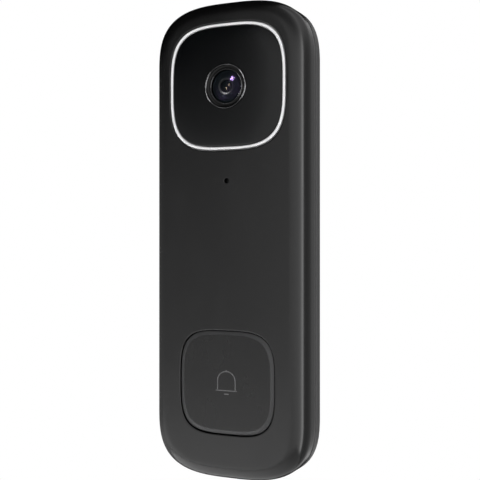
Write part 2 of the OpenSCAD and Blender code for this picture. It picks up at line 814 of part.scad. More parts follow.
// Bracket that clamps the ring, lamp board and lens holder to the front housing
module camera_bracket() color("#34363a") {
  difference() {
    union() {
      slab(bracket_y + 0.01, bracket_back_y) {
        squircle(lamp_board_half - 0.4, ring_power, camera_z);
        for (p = bracket_ears) {
          translate(p) circle(ear_r);
          translate([p[0] * 0.9, (p[1] - camera_z) * 0.9 + camera_z])
            square([3.2, 3.6], center = true);
        }
      }
      // collar that guides the lens holder
      rod(bracket_back_y - 0.5, bracket_back_y + 1, holder_w / 2 + 1.2, [0, camera_z]);
    }
    rod(bracket_y - past, bracket_back_y + 2, holder_w / 2 + slip, [0, camera_z]);
    for (p = bracket_ears) rod(bracket_y - past, bracket_back_y + past, small_screw_d / 2 + slip, p);
    for (x = [-1, 1], z = [-1, 1])
      rod(bracket_y - past, bracket_back_y + past, 1.6,
          [x * infrared_at, camera_z + z * infrared_at]);
    // way through for the lamp board's flat cable
    block([ring_flex_x[0] - 0.5, bracket_y - past, camera_z - lamp_board_half - past],
          [ring_flex_x[1] + 0.5, bracket_back_y + past, ring_flex_z + 1.5]);
  }
}

module bracket_screws() color("#8d9094") {
  for (p = bracket_ears)
    screw(p, bracket_back_y + 0.01, bracket_t + bracket_screw_bite,
          small_screw_d, small_head_d, small_head_t);
}

// ---------------------------------------------------------------- boards

module main_board() color("#1b4f36") {
  slab(board_y, board_back_y) difference() {
    rounded([2 * board_half_w, board_top - board_bottom], 1.5, [0, (board_top + board_bottom) / 2]);
    for (p = board_screw_at) translate(p) circle(small_screw_d / 2 + slip);
    for (p = stake_at) translate(p) circle(stake_head_r + 2 * slip);
  }
}

module board_screws() color("#8d9094") {
  for (p = board_screw_at)
    screw(p, board_back_y + 0.01, board_t + board_screw_bite,
          small_screw_d, small_head_d, small_head_t);
}

module processor() color("#222326") {
  slab(board_y - 0.9, board_y) rounded([11, 11], 0.3, [0, processor_z]);
}

module shield_can() color("#b7babf") {
  difference() {
    slab(board_y - can_rise, board_y - 0.01) rounded(can_size, 1, [0, processor_z]);
    slab(board_y - can_rise + can_t, board_y + past)
      rounded(can_size - 2 * can_t * [1, 1], 1 - can_t, [0, processor_z]);
    for (x = [-2:2], z = [-2:2]) if (abs(x) + abs(z) > 2)
      rod(board_y - can_rise - past, board_y - can_rise + past, 0.5,
          [x * 3, processor_z + z * 3]);
  }
}

module thermal_pad() color("#8fa6b5") {
  slab(board_y - can_rise + can_t + 0.02, board_y - 0.92)
    rounded([9, 9], 0.5, [0, processor_z]);
}

// Stamped antenna that clips on the board's left edge
module wifi_antenna() color("#c8a24a") {
  x = -board_half_w + 1;
  crest_y = board_y - antenna_rise;
  pitch = antenna_length / antenna_teeth;
  block([x, crest_y, antenna_low_z],
        [x + antenna_t, board_y - 0.01, antenna_low_z + antenna_length]);
  for (i = [0:antenna_teeth - 1]) let (z = antenna_low_z + pitch * (i + 0.1))
    block([x + antenna_t - 0.01, crest_y, z], [x + 1.4, crest_y + antenna_t, z + pitch / 2]);
}

module storage_capacitors() color("#30343a") {
  for (x = [-1, 1])
    translate([x * capacitor_x, board_back_y + capacitor_r + 0.02, capacitor_low_z]) {
      cylinder(h = capacitor_length, r = capacitor_r);
      translate([0, 0, -0.6]) cylinder(h = 0.7, r = capacitor_r - 0.4);
    }
}

module power_coil() color("#4b4d50") {
  slab(board_back_y + 0.01, board_back_y + coil_rise) rounded([coil_w, coil_w], 1.2, [0, -2]);
  for (x = [-1, 1]) slab(board_back_y + 0.01, board_back_y + 0.4)
    rounded([2, 6], 0.3, [x * (coil_w / 2 + 0.1), -2]);
}

module flex_connectors() color("#e6e0cf") {
  slab(board_back_y + 0.01, board_back_y + plug_rise) rounded(camera_plug, 0.3, [0, connector_z]);
  slab(board_y - plug_rise, board_y - 0.01) rounded(lamp_plug, 0.3, [ring_flex_mid, connector_z - 1]);
}

// Flat cable from the camera board down to the connector behind the main board
module camera_flex() color("#c77f2e") {
  t = flex_t;
  start_z = camera_z - camera_board_w / 2 + 1;
  across(-camera_flex_half, camera_flex_half)
    strip([[camera_board_back_y + t / 2 + 0.01, start_z],
           [camera_board_back_y + t / 2 + 0.01, start_z - 3],
           [board_back_y + plug_rise + slip / 5 + t / 2, connector_z + 4],
           [board_back_y + plug_rise + slip / 5 + t / 2, connector_z]], t);
}

// Flat cable from the lamp board to the front of the main board
module ring_flex() color("#c77f2e") {
  t = flex_t;
  across(ring_flex_x[0], ring_flex_x[1])
    strip([[lamp_board_back_y + t / 2 + 0.01, ring_flex_z + 1],
           [lamp_board_back_y + t / 2 + 0.01, ring_flex_z - 1.2],
           [board_y - plug_rise - slip / 5 - t / 2, ring_flex_z - 2.6],
           [board_y - plug_rise - slip / 5 - t / 2, connector_z - 1]], t);
}

// ---------------------------------------------------------------- sound

module microphone() color("#c9cbcd") {
  difference() {
    slab(board_y - 1, board_y - 0.01) rounded([4, 3], 0.3, [0, mic_z]);
    rod(board_y - 1 - past, board_y - 0.7, 0.35, [0, mic_z]);
  }
}

// Rubber sleeve that leads the port to the microphone
module mic_boot() color("#303133") {
  difference() {
    union() {
      rod(inner_y + 0.22, board_y - 1.02, 1.7, [0, mic_z]);
      rod(inner_y + 0.22, inner_y + 0.9, 2.3, [0, mic_z]);
    }
    rod(inner_y - past, board_y, 0.6, [0, mic_z]);
  }
}

module mic_mesh() color("#7b7e82") {
  rod(inner_y + 0.02, inner_y + 0.2, 2, [0, mic_z]);
}

// A stadium outline in X and Y round the speaker's centre
module stadium(w, deep) {
  translate([0, speaker_y]) union() {
    square([w - deep, deep], center = true);
    for (x = [-1, 1]) translate([x * (w - deep) / 2, 0]) circle(deep / 2);
  }
}

module speaker_gasket() color("#3a3b3d") {
  translate([0, 0, speaker_seat_z + 0.01]) linear_extrude(speaker_gasket_t - 0.02) difference() {
    stadium(speaker_w, speaker_deep);
    stadium(speaker_w - 2.4, speaker_deep - 2.4);
  }
}

module speaker_frame() color("#2c2d30") {
  difference() {
    translate([0, 0, speaker_low_z]) linear_extrude(speaker_rise) stadium(speaker_w, speaker_deep);
    translate([0, 0, speaker_low_z - past]) linear_extrude(speaker_rise - 0.6 + past)
      stadium(speaker_w - 1.6, speaker_deep - 1.6);
    translate([0, 0, speaker_top_z - past]) linear_extrude(2 * past)
      stadium(speaker_w - 9, speaker_deep - 3.2);
  }
}

// Diaphragm with a half-round surround and a raised middle
module speaker_cone() color("#55585c") {
  edge = 0.84;
  translate([0, 0, speaker_low_z + 0.2]) {
    linear_extrude(0.35) difference() {
      stadium(speaker_w - 2 * edge, speaker_deep - 2 * edge);
      stadium(speaker_w - 4, speaker_deep - 4);
    }
    translate([0, 0, 0.34]) linear_extrude(0.3) stadium(speaker_w - 3.6, speaker_deep - 3.6);
  }
}

module speaker_coil() color("#b5652c") {
  translate([0, 0, speaker_low_z + 0.85]) linear_extrude(1.1) difference() {
    stadium(speaker_w - 11.6, speaker_deep - 3.9);
    stadium(speaker_w - 12.2, speaker_deep - 4.5);
  }
}

// Top plate and magnet that carry the gap for the coil
module speaker_magnet() color("#6d7176") {
  translate([0, 0, speaker_top_z - 0.62]) linear_extrude(0.9)
    stadium(speaker_w - 9.3, speaker_deep - 3.4);
  translate([0, 0, speaker_top_z - 1.6]) linear_extrude(1.1)
    stadium(speaker_w - 12.8, speaker_deep - 4.9);
}

// Two wires from the speaker up to the main board's lower edge
module speaker_leads() color("#b23a34") {
  r = 0.35;
  start_z = speaker_top_z + r + snug;
  for (x = [-1, 1]) translate([x * 7.2, board_back_y + r + snug, start_z]) {
    cylinder(h = board_bottom + 1 - start_z, r = r);
    sphere(r);
  }
}

// ---------------------------------------------------------------- doorbell button

// Cap with a bevelled face, a skirt with a retaining flange, and a post in the middle
module doorbell_button() color("#26282b") {
  face = squircle_points(button_half - button_bevel, button_power);
  edge = squircle_points(button_half, button_power);
  difference() {
    union() {
      translate([0, 0, button_z]) loft([
        [face, front_y], [edge, front_y + button_bevel_deep], [edge, inner_y + 0.3]]);
      slab(inner_y + 0.02, flange_back_y) squircle(flange_half - slip, button_power, button_z);
    }
    slab(front_y + button_bevel_deep + 1.1, flange_back_y + past)
      squircle(button_half - 1.2, button_power, button_z);
  }
  rod(front_y + 1.2, flange_back_y, 3, [0, button_z]);
  for (a = [0:45:315]) translate([0, 0, button_z]) rotate([0, a, 0])
    block([2.5, front_y + 1.2, -0.4], [button_half - 1, flange_back_y - 0.3, 0.4]);
}

module button_membrane() color("#4a4c50") {
  slab(inner_y + 0.02, web_back_y) squircle_frame(rim_out, rim_in, button_power, button_z);
  slab(web_y, web_back_y) squircle(rim_in + 0.5, button_power, button_z);
  rod(flange_back_y + 0.03, web_y + 0.1, 2.2, [0, button_z]);
  rod(web_y + 0.1, switch_y - plunger_proud - 0.03, 1.6, [0, button_z]);
}

module button_retainer() color("#34363a") {
  slab(web_back_y + 0.02, retainer_back_y) difference() {
    union() {
      squircle(rim_out, button_power, button_z);
      for (p = stake_at) strip([p * 0.8 + [0, button_z * 0.2], p], ear_w);
    }
    squircle(rim_in - 1.5, button_power, button_z);
    for (p = stake_at) translate(p) circle(stake_r + snug);
  }
}

module button_switch() color("#1c1d1f") {
  difference() {
    slab(switch_y, board_y - 0.01) rounded([switch_w, switch_w], 0.5, [0, button_z]);
    rod(switch_y - past, board_y - 0.4, plunger_r + slip, [0, button_z]);
  }
}

module switch_plunger() color("#d9dadb") {
  rod(switch_y - plunger_proud, board_y - 0.45 - plunger_travel, plunger_r, [0, button_z]);
}

// ---------------------------------------------------------------- connections

module terminal_block() color("#3f4145") {
  difference() {
    union() {
      slab(board_back_y + 0.01, terminal_face_y)
        rounded([terminal_w - 1, terminal_h - 1], 1, [0, terminal_z]);
      slab(bump_inner_y - 1.2, bump_inner_y - 0.02)
        rounded([terminal_w + 2, terminal_h + 2], 1, [0, terminal_z]);
      // rim and divider that stand round the two terminals
      slab(terminal_face_y - past, bump_back_y) difference() {
        rounded([terminal_w - 1, terminal_h - 1], 1, [0, terminal_z]);
        for (x = [-1, 1]) translate([x * (terminal_w / 4 + 0.05), terminal_z])
          square([terminal_w / 2 - 1.3, terminal_h - 2.2], center = true);
      }
    }
    for (x = [-1, 1]) translate([x * (terminal_w / 4 + 0.05), 0, 0])
      slab(terminal_face_y, bump_back_y + past)
        translate([0, terminal_z]) square([terminal_w / 2 - 1.3, terminal_h - 2.2], center = true);
    for (x = [-1, 1]) rod(board_back_y + 1, bump_back_y, 1.25 + snug,
                          [x * terminal_spacing / 2, terminal_z]);
  }
}

module terminal_plates() color("#d0b36a") {
  for (x = [-1, 1]) slab(terminal_face_y + 0.01, terminal_face_y + 0.5) difference() {
    rounded([terminal_plate_w, 7.6], 0.6, [x * (terminal_spacing / 2 + 0.4), terminal_z]);
    translate([x * terminal_spacing / 2, terminal_z]) circle(1.25 + slip);
  }
}

module terminal_screws() color("#c3c6ca") {
  for (x = [-1, 1]) let (at = [x * terminal_spacing / 2, terminal_z], seat = terminal_face_y + 0.52)
    difference() {
      union() {
        rod(board_back_y + 1.4, seat, 1.25, at);
        rod(seat, seat + terminal_head_t, terminal_head_r, at);
      }
      block([at[0] - 2 * terminal_head_r, seat + terminal_head_t - 0.6, at[1] - 0.4],
            [at[0] + 2 * terminal_head_r, seat + terminal_head_t + past, at[1] + 0.4]);
    }
}

module setup_button() color("#2f3134") {
  rod(setup_switch_back_y + setup_plunger_proud, setup_face_y, setup_r, [0, setup_z]);
  rod(bump_inner_y - 0.02 - setup_flange_t, bump_inner_y - 0.02, setup_r + 1, [0, setup_z]);
}

module setup_switch() color("#1c1d1f") {
  difference() {
    slab(board_back_y + 0.01, setup_switch_back_y) rounded([4.6, 4.6], 0.4, [0, setup_z]);
    rod(board_back_y + 0.4, setup_switch_back_y + past, 1 + slip, [0, setup_z]);
  }
}

module setup_plunger() color("#d9dadb") {
  rod(board_back_y + 0.45 + setup_travel, setup_switch_back_y + setup_plunger_proud - 0.01, 1,
      [0, setup_z]);
}

wall_plate();
latch_spring();
front_housing();
rear_housing();
housing_gasket();
housing_screws();
light_ring();
camera_window();
window_seal();
ring_board();
ring_lamps();
infrared_lamps();
light_sensor();
lens_bezel();
front_lens();
lens_barrel();
rear_lenses();
aperture_stop();
lens_holder();
image_sensor();
camera_board();
camera_bracket();
bracket_screws();
camera_flex();
ring_flex();
main_board();
board_screws();
processor();
shield_can();
thermal_pad();
wifi_antenna();
storage_capacitors();
power_coil();
flex_connectors();
microphone();
mic_boot();
mic_mesh();
speaker_frame();
speaker_cone();
speaker_coil();
speaker_magnet();
speaker_gasket();
speaker_leads();
doorbell_button();
button_membrane();
button_retainer();
button_switch();
switch_plunger();
terminal_block();
terminal_plates();
terminal_screws();
setup_button();
setup_switch();
setup_plunger();
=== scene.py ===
"""Looks of a slim wired video doorbell, built around its packed construction model.

Every length is in metres in the construction's own frame: the wall is the plane y = 0, the face looks
towards -Y and +Z is up. Positions come from the boxes of the construction's nodes.
"""

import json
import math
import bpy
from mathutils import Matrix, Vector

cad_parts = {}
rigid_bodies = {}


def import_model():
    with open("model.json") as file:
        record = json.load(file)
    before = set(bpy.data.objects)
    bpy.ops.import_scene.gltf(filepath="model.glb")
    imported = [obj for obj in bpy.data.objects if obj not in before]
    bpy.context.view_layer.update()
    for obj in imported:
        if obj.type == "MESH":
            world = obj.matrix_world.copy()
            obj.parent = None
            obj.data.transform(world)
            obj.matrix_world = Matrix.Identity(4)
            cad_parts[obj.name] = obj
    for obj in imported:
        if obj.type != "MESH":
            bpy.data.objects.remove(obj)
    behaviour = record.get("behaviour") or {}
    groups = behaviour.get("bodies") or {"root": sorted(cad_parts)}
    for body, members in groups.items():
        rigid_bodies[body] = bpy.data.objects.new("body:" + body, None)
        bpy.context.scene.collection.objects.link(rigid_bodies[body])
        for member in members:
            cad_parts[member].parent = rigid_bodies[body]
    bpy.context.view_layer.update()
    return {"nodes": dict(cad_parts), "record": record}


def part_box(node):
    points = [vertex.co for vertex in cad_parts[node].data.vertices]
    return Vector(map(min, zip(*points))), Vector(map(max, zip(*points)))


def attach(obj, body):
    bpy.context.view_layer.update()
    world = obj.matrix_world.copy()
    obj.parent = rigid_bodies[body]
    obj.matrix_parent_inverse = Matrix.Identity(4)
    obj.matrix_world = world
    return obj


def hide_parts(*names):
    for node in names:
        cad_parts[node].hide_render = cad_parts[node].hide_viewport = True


bl_info = {
    "name": "Video doorbell looks",
    "version": (1, 0, 0),
    "blender": (4, 5, 0),
    "location": "3D View > Sidebar > Doorbell",
    "description": "Shells, light ring, camera, button, finishes and stage of a slim video doorbell",
    "category": "Add Mesh",
}

from functools import partial

import bmesh
import bpy
import numpy as np
from bpy.props import FloatProperty, FloatVectorProperty, IntProperty, PointerProperty
from bpy.types import Operator, Panel, PropertyGroup
from mathutils import Vector

for leftover in list(bpy.data.objects):
    bpy.data.objects.remove(leftover)

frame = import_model()

MM = 0.001
FLAT_ANGLE = 35
TURNED_ANGLE = 50
INSIDE_ROUND = 0.6 * MM
LENS_PLAY = 0.12 * MM
BEAD_DEEP = 0.7 * MM
SPECULAR = "Specular IOR Level"


# ---------------------------------------------------------------- places, from the construction


def low(node):
    """Lowest corner of a construction node."""
    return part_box(node)[0]


def high(node):
    """Highest corner of a construction node."""
    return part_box(node)[1]


def middle_z(node):
    """Height of a construction node's middle."""
    return (low(node).z + high(node).z) / 2


HALF_W = high("front_housing").x
HALF_H = high("front_housing").z
FRONT_Y = low("front_housing").y
FRONT_BACK_Y = high("front_housing").y
CAMERA_Z = middle_z("camera_window")
BUTTON_Z = middle_z("doorbell_button")
MIC_Z = middle_z("mic_mesh")
WINDOW_HALF = high("camera_window").x
RING_FOOT_HALF = high("light_ring").x
RING_FOOT_Y = high("light_ring").y
BUTTON_FLANGE_HALF = high("doorbell_button").x
BUTTON_BACK_Y = high("doorbell_button").y
BEZEL_FRONT_Y = low("lens_bezel").y
BEZEL_BACK_Y = high("lens_bezel").y
LENS_R = high("front_lens").x
LENS_FRONT_Y = low("front_lens").y


# ---------------------------------------------------------------- values a user would change

# Properties for a length in metres, for a share from 0 to 1 and for a colour.
Length = partial(FloatProperty, unit="LENGTH")
Share = partial(FloatProperty, subtype="FACTOR", min=0.0, max=1.0)
Colour = partial(FloatVectorProperty, subtype="COLOR")


class HousingValues(PropertyGroup):
    """Form and finish of the two shells, their seam and the microphone port."""

    end_rise: Length(name="End rise", description="Height of the outline's curved ends", default=18.5 * MM)
    end_power: FloatProperty(name="End power", description="Power of the ends' superellipse", default=3.1)
    edge_in: Length(name="Edge reach", description="How far the front edge is rounded in", default=4.4 * MM)
    edge_deep: Length(name="Edge depth", description="How far it is rounded back", default=5.5 * MM)
    edge_power: FloatProperty(name="Edge power", description="Power of that edge's section", default=2.5)
    wall: Length(name="Wall", description="Thickness of the side and front walls", default=2 * MM)
    rim: Length(name="Rim", description="Radius on the rims of the seats", default=0.16 * MM)
    mic_r: Length(name="Port", description="Radius of the microphone port", default=0.7 * MM)
    seam: Length(name="Seam", description="Width of the shadow groove at the seam", default=0.35 * MM)
    colour: Colour(name="Front", description="Colour of the polished front", default=(0.0025, 0.0025, 0.0026))
    rear_colour: Colour(name="Rear", description="Colour of the rear shell", default=(0.016, 0.016, 0.0165))
    # The seam rubber's near-black colour is painted shade for the seam groove's shadow.
    seam_shade_colour: Colour(name="Seam rubber", description="Colour in the seam", default=(0.003, 0.003, 0.003))
    # The mesh's near-black colour is painted shade for the depth of the microphone port.
    mesh_shade_colour: Colour(name="Mesh", description="Colour in the port", default=(0.006, 0.006, 0.006))
    roughness: Share(name="Roughness", description="Roughness of the polished front", default=0.2)


class RingValues(PropertyGroup):
    """Form and finish of the light ring and the window inside it."""

    power: FloatProperty(name="Ring power", description="Power of the ring's outline", default=3.4)
    seat_gap: Length(name="Seat gap", description="Gap between the ring and its seat", default=0.1 * MM)
    groove: Length(name="Groove", description="Width of the groove beside the band", default=0.2 * MM)
    foot: Length(name="Foot", description="Spread of the foot behind the front wall", default=0.8 * MM)
    foot_rise: Length(name="Foot rise", description="Thickness of that foot", default=1.4 * MM)
    crest: Length(name="Crest", description="How far the rounded crest stands proud", default=0.3 * MM)
    dome: Length(name="Dome", description="Rise of the window's domed face", default=0.5 * MM)
    window_t: Length(name="Window", description="Thickness of the camera window", default=1.6 * MM)
    colour: Colour(name="Ring", description="Colour of the milky light guide", default=(0.72, 0.72, 0.73))
    window_colour: Colour(name="Glass", description="Colour of the window", default=(0.0024, 0.0027, 0.003))
    glow: FloatProperty(name="Glow", description="Light given off by the ring", default=0.04)


class CameraValues(PropertyGroup):
    """Form and finish of the bezel and the lens."""

    bezel_r: Length(name="Bezel radius", description="Outer radius of the bezel", default=6.05 * MM)
    crest: Length(name="Crest", description="Width of the bezel's plated ridge", default=0.36 * MM)
    pupil_r: Length(name="Pupil", description="Radius of the opening in the lens", default=1.95 * MM)
    bulge: Length(name="Bulge", description="Rise of the front lens", default=1.2 * MM)
    skin: Length(name="Skin", description="Thickness of the front lens", default=0.15 * MM)
    bezel_colour: Colour(name="Bezel", description="Colour of the bezel", default=(0.002, 0.002, 0.0021))
    plating: Colour(name="Plating", description="Colour of the two beads", default=(0.04, 0.04, 0.041))
    tint: Colour(name="Coating", description="Colour that the front lens reflects", default=(0.6, 0.36, 1.0))
    mount: Colour(name="Mount", description="Colour behind the front lens", default=(0.008, 0.0115, 0.014))
    rim_colour: Colour(name="Rim", description="Colour of the pupil's rim", default=(0.004, 0.005, 0.006))
    inner: Colour(name="Inner lens", description="Colour of the second lens", default=(0.001, 0.0016, 0.0018))
    inner_tint: Colour(name="Inner tint", description="Colour that it reflects", default=(1.0, 0.78, 0.5))


class ButtonValues(PropertyGroup):
    """Form and finish of the doorbell button."""

    power: FloatProperty(name="Button power", description="Power of the button's outline", default=3.7)
    gap: Length(name="Gap", description="Gap round the button", default=0.25 * MM)
    flange: Length(name="Flange", description="How far the flange reaches past the button", default=1.3 * MM)
    bevel: Length(name="Bevel", description="Width of the bevel round the face", default=1.0 * MM)
    bevel_deep: Length(name="Bevel depth", description="Depth of that bevel", default=0.35 * MM)
    stroke_room: Length(name="Room", description="Room left behind the pressing post", default=0.64 * MM)
    stroke: Length(name="Stroke", description="Width of the bell symbol's lines", default=0.27 * MM)
    colour: Colour(name="Button", description="Colour of the button", default=(0.003, 0.003, 0.0031))
    band_colour: Colour(name="Bevel colour", description="Colour of the bevel", default=(0.035, 0.035, 0.036))
    symbol_colour: Colour(name="Symbol", description="Colour of the bell symbol", default=(0.1, 0.1, 0.102))


class StageValues(PropertyGroup):
    """Floor, lamps and camera."""

    floor_drop: Length(name="Floor", description="Depth of the floor below the middle", default=0.6)
    floor_radius: Length(name="Floor radius", description="Radius of the floor", default=0.8)
    floor_lead: Length(name="Floor lead", description="How far it lies ahead of the wall", default=0.4)
    camera_azimuth: FloatProperty(
        name="Camera azimuth",
        description="Heading of the camera from the face's own direction",
        default=math.radians(24.61),
        unit="ROTATION",
    )
    camera_distance: Length(name="Distance", description="From the camera to its aim", default=242.24 * MM)
    camera_aim_x: Length(name="Aim", description="Sideways place of the point aimed at", default=4.05 * MM)
    camera_aim_z: Length(name="Height", description="Height of the camera and its aim", default=0.08 * MM)
    focal_length: FloatProperty(
        name="Focal length", description="Focal length in millimetres", default=67.95, unit="CAMERA"
    )
    lamp_level: FloatProperty(name="Lamp level", description="Factor on every lamp's power", default=1.0)
    loop_steps: IntProperty(name="Loop steps", description="Points round a loft", default=192, min=12)


# ---------------------------------------------------------------- surfaces


def superellipse_loft(rows, centre_z, columns=0):
    """A grid of points on the surface through rows (half, power, y).

    Row by row, x = r(a) cos a and z = centre_z + r(a) sin a, where
    r(a) = half / (|cos a|^power + |sin a|^power)^(1/power) and a runs once round.
    A row with half 0 is a pole. Columns are the points round it, or the stage's loop steps if not given.
    """
    columns = columns or bpy.context.scene.stage.loop_steps
    half, power, depth = (column[:, None] for column in np.array(rows, float).T)
    angle = 2 * np.pi * (np.arange(columns)[None, :] + 0.5) / columns
    across = np.abs(np.cos(angle)) ** power + np.abs(np.sin(angle)) ** power
    radius = half / across ** (1 / power)
    sides = [radius * np.cos(angle), depth + 0 * angle, centre_z + radius * np.sin(angle)]
    return np.stack(sides, axis=-1)


def grid_quads(rows, columns, closed_rows=False):
    """Quads between neighbouring rows and columns of a grid of points, numbered row by row.

    The columns run once round. With closed rows the last row joins the first, as in a ring.
    """
    row = np.arange(rows if closed_rows else rows - 1)[:, None]
    column = np.arange(columns)[None, :]
    here = row * columns + column
    right = row * columns + (column + 1) % columns
    below = (row + 1) % rows * columns + column
    across = (row + 1) % rows * columns + (column + 1) % columns
    return np.stack([here, right, across, below], axis=-1).reshape(-1, 4)


def quarter_turn(steps):
    """Pairs (1 - sin a, 1 - cos a) at equal steps of a from 0 to 90 degrees, without the first."""
    turn = np.radians(np.linspace(0, 90, steps + 1))[1:]
    return zip(1 - np.sin(turn), 1 - np.cos(turn))


def half_round(middle, half, foot_y, rise, steps):
    """Points over a crest: r = middle + half cos a and y = foot - rise sin a, a from 0 to 180 degrees."""
    turn = np.radians(np.linspace(0, 180, steps + 1))
    return list(zip(middle + half * np.cos(turn), foot_y - rise * np.sin(turn)))


class Outline:
    """The housing's outline as segments that share their joints.

    A segment's point at an inset is x = (half width - inset) cx, z = straight + (rise - inset) cz. Along
    the straight sides cx, cz is (1, 0). Round the superelliptic ends they are the cosine and sine raised
    to 2/power, at points equally spaced along the curve. Across the face at each cut, cx runs from side to
    side. Side pieces and cuts are numbered from the bottom.
    """

    def __init__(self, values, cuts, side_step=3 * MM, end_steps=44, cut_steps=24):
        self.rise = values.end_rise
        self.power = values.end_power
        self.pieces = len(cuts) + 1
        straight = HALF_H - self.rise
        levels = [-straight, *sorted(cuts), straight]
        self.segments = {}
        for k in range(self.pieces):
            steps = max(2, round((levels[k + 1] - levels[k]) / side_step)) + 1
            z = np.linspace(levels[k], levels[k + 1], steps)
            self.segments["right", k] = (np.ones(steps), np.zeros(steps), z)
            self.segments["left", k] = (-np.ones(steps), np.zeros(steps), z[::-1])
        run = np.linspace(-1, 1, cut_steps + 1)
        for k, level in enumerate(levels[1:-1]):
            self.segments["rightwards", k] = (run, 0 * run, 0 * run + level)
            self.segments["leftwards", k] = (-run, 0 * run, 0 * run + level)
        cx, cz = self.quarter(end_steps)
        top_x, top_z = np.concatenate([cx, -cx[-2::-1]]), np.concatenate([cz, cz[-2::-1]])
        at = np.full(len(top_x), straight)
        self.segments["top", 0] = (top_x, top_z, at)
        self.segments["bottom", 0] = (-top_x, -top_z, -at)

    def quarter(self, steps):
        """cx and cz of a quarter of an end, at equal distances along the curve."""
        fine = np.pi / 4 * (1 - np.cos(np.linspace(0, np.pi, 4001)))
        x = HALF_W * np.abs(np.cos(fine)) ** (2 / self.power)
        z = self.rise * np.abs(np.sin(fine)) ** (2 / self.power)
        run = np.concatenate([[0], np.cumsum(np.hypot(np.diff(x), np.diff(z)))])
        turn = np.interp(np.linspace(0, run[-1], steps + 1), run, fine)
        cx = np.abs(np.cos(turn)) ** (2 / self.power)
        cz = np.abs(np.sin(turn)) ** (2 / self.power)
        cx[-1], cz[0] = 0, 0
        return cx, cz

    def loop(self, names, inset):
        """Points in X and Z of a closed loop of segments at one inset, with each joint given once."""
        parts = [self.segments[name] for name in names]
        cx, cz, straight = (np.concatenate([part[k][:-1] for part in parts]) for k in range(3))
        return np.stack([(HALF_W - inset) * cx, straight + (self.rise - inset) * cz], axis=-1)

    def tube(self, profile):
        """The whole outline, anticlockwise seen from the front, once for each (inset, y) of a profile."""
        right = [("right", k) for k in range(self.pieces)]
        left = [("left", k) for k in reversed(range(self.pieces))]
        names = [*right, ("top", 0), *left, ("bottom", 0)]
        return np.array([np.insert(self.loop(names, inset), 1, y, axis=1) for inset, y in profile])


def zone_rows(loop_front, loop_back, centre_z, half, power, rim, back_y):
    """A tube from a loop on the face, across the face, through a hole and out to a loop on the inside.

    Each column runs along the ray from the hole's centre through its point of the loop, so the hole's
    rim is r(a) = half / (|cos a|^power + |sin a|^power)^(1/power), in that ray's direction a. The rim is
    rounded by a quarter circle, and a narrow flat row beside each bend keeps the shading of the flat true.
    """
    centre = np.array([0, centre_z])
    offset = loop_front - centre
    angle = np.arctan2(offset[:, 1], offset[:, 0])
    across = np.abs(np.cos(angle)) ** power + np.abs(np.sin(angle)) ** power
    unit = np.stack([np.cos(angle), np.sin(angle)], axis=-1) / across[:, None] ** (1 / power)
    start = centre + (half + rim) * unit
    narrow = 0.25 * MM / np.linalg.norm(start - loop_front, axis=1)[:, None]
    rows = []
    for share in (0, narrow, 0.35, 0.7, 1 - narrow, 1):
        rows.append(np.insert(loop_front + (start - loop_front) * share, 1, FRONT_Y, axis=1))
    for outwards, deep in quarter_turn(4):
        rows.append(np.insert(centre + (half + rim * outwards) * unit, 1, FRONT_Y + rim * deep, axis=1))
    wall = centre + half * unit
    for share in (0, 0.5, 1):
        rows.append(np.insert(wall + (loop_back - wall) * share, 1, back_y, axis=1))
    return np.array(rows)


def add_object(name, data):
    """A new object in the scene."""
    item = bpy.data.objects.new(name, data)
    bpy.context.scene.collection.objects.link(item)
    return item


def shade(mesh, angle=FLAT_ANGLE):
    """Smooth shading, with edges sharper than an angle in degrees kept sharp."""
    mesh.shade_smooth()
    mesh.set_sharp_from_angle(angle=math.radians(angle))


def weld(name, grids, closed_rows=False, smooth_angle=FLAT_ANGLE):
    """One closed mesh object from grids of points: quads between them, shared points merged, poles closed.

    It raises an error if an edge has other than two faces, so that every piece handed on is a true solid.
    """
    points, faces, count = [], [], 0
    for grid in grids:
        flat = grid.reshape(-1, 3)
        points.append(flat)
        faces.append(grid_quads(*grid.shape[:2], closed_rows) + count)
        count += len(flat)
    mesh = bpy.data.meshes.new(name)
    mesh.from_pydata(np.concatenate(points), [], np.concatenate(faces).tolist())
    work = bmesh.new()
    work.from_mesh(mesh)
    bmesh.ops.remove_doubles(work, verts=work.verts, dist=1e-6)
    bmesh.ops.dissolve_degenerate(work, dist=1e-7, edges=work.edges)
    bmesh.ops.recalc_face_normals(work, faces=work.faces)
    if any(len(edge.link_faces) != 2 for edge in work.edges):
        raise RuntimeError(f"{name} isn't closed")
    if work.calc_volume(signed=True) < 0:
        bmesh.ops.reverse_faces(work, faces=work.faces)
    work.to_mesh(mesh)
    work.free()
    shade(mesh, smooth_angle)
    return add_object(name, mesh)


def turned(name, profiles, columns=0, closed=False):
    """A piece turned about the lens's axis: each profile of (radius, y) points is carried once round."""
    rows = [[(radius, 2.0, y) for radius, y in profile] for profile in profiles]
    return weld(name, [superellipse_loft(each, CAMERA_Z, columns) for each in rows], closed, TURNED_ANGLE)


def cut(piece, tools):
    """Cuts closed tool solids out of a piece by exact Boolean operations, then removes the tools."""
    for tool in tools:
        step = piece.modifiers.new("cut", "BOOLEAN")
        step.operation = "DIFFERENCE"
        step.solver = "EXACT"
        step.object = tool
    graph = bpy.context.evaluated_depsgraph_get()
    result = bpy.data.meshes.new_from_object(piece.evaluated_get(graph))
    piece.modifiers.clear()
    piece.data = result
    for tool in tools:
        bpy.data.objects.remove(tool)
    shade(result)
    return piece


def stadium_prism(name, wide, deep, length, place, steps=32):
    """An upright prism whose section is a stadium: half circles joined by straight sides.

    x = wide/2 cos a and y = wide/2 sin a + (deep - wide)/2 sign(sin a), a once round.
    """
    turn = 2 * np.pi * (np.arange(steps) + 0.5) / steps
    x = wide / 2 * np.cos(turn)
    y = wide / 2 * np.sin(turn) + np.sign(np.sin(turn)) * (deep - wide) / 2
    rows = []
    for scale, end in ((0, -0.5), (1, -0.5), (1, 0.5), (0, 0.5)):
        rows.append(np.stack([scale * x, scale * y, np.full(steps, end * length)], axis=-1))
    return weld(name, [np.array(rows) + np.array(place)])


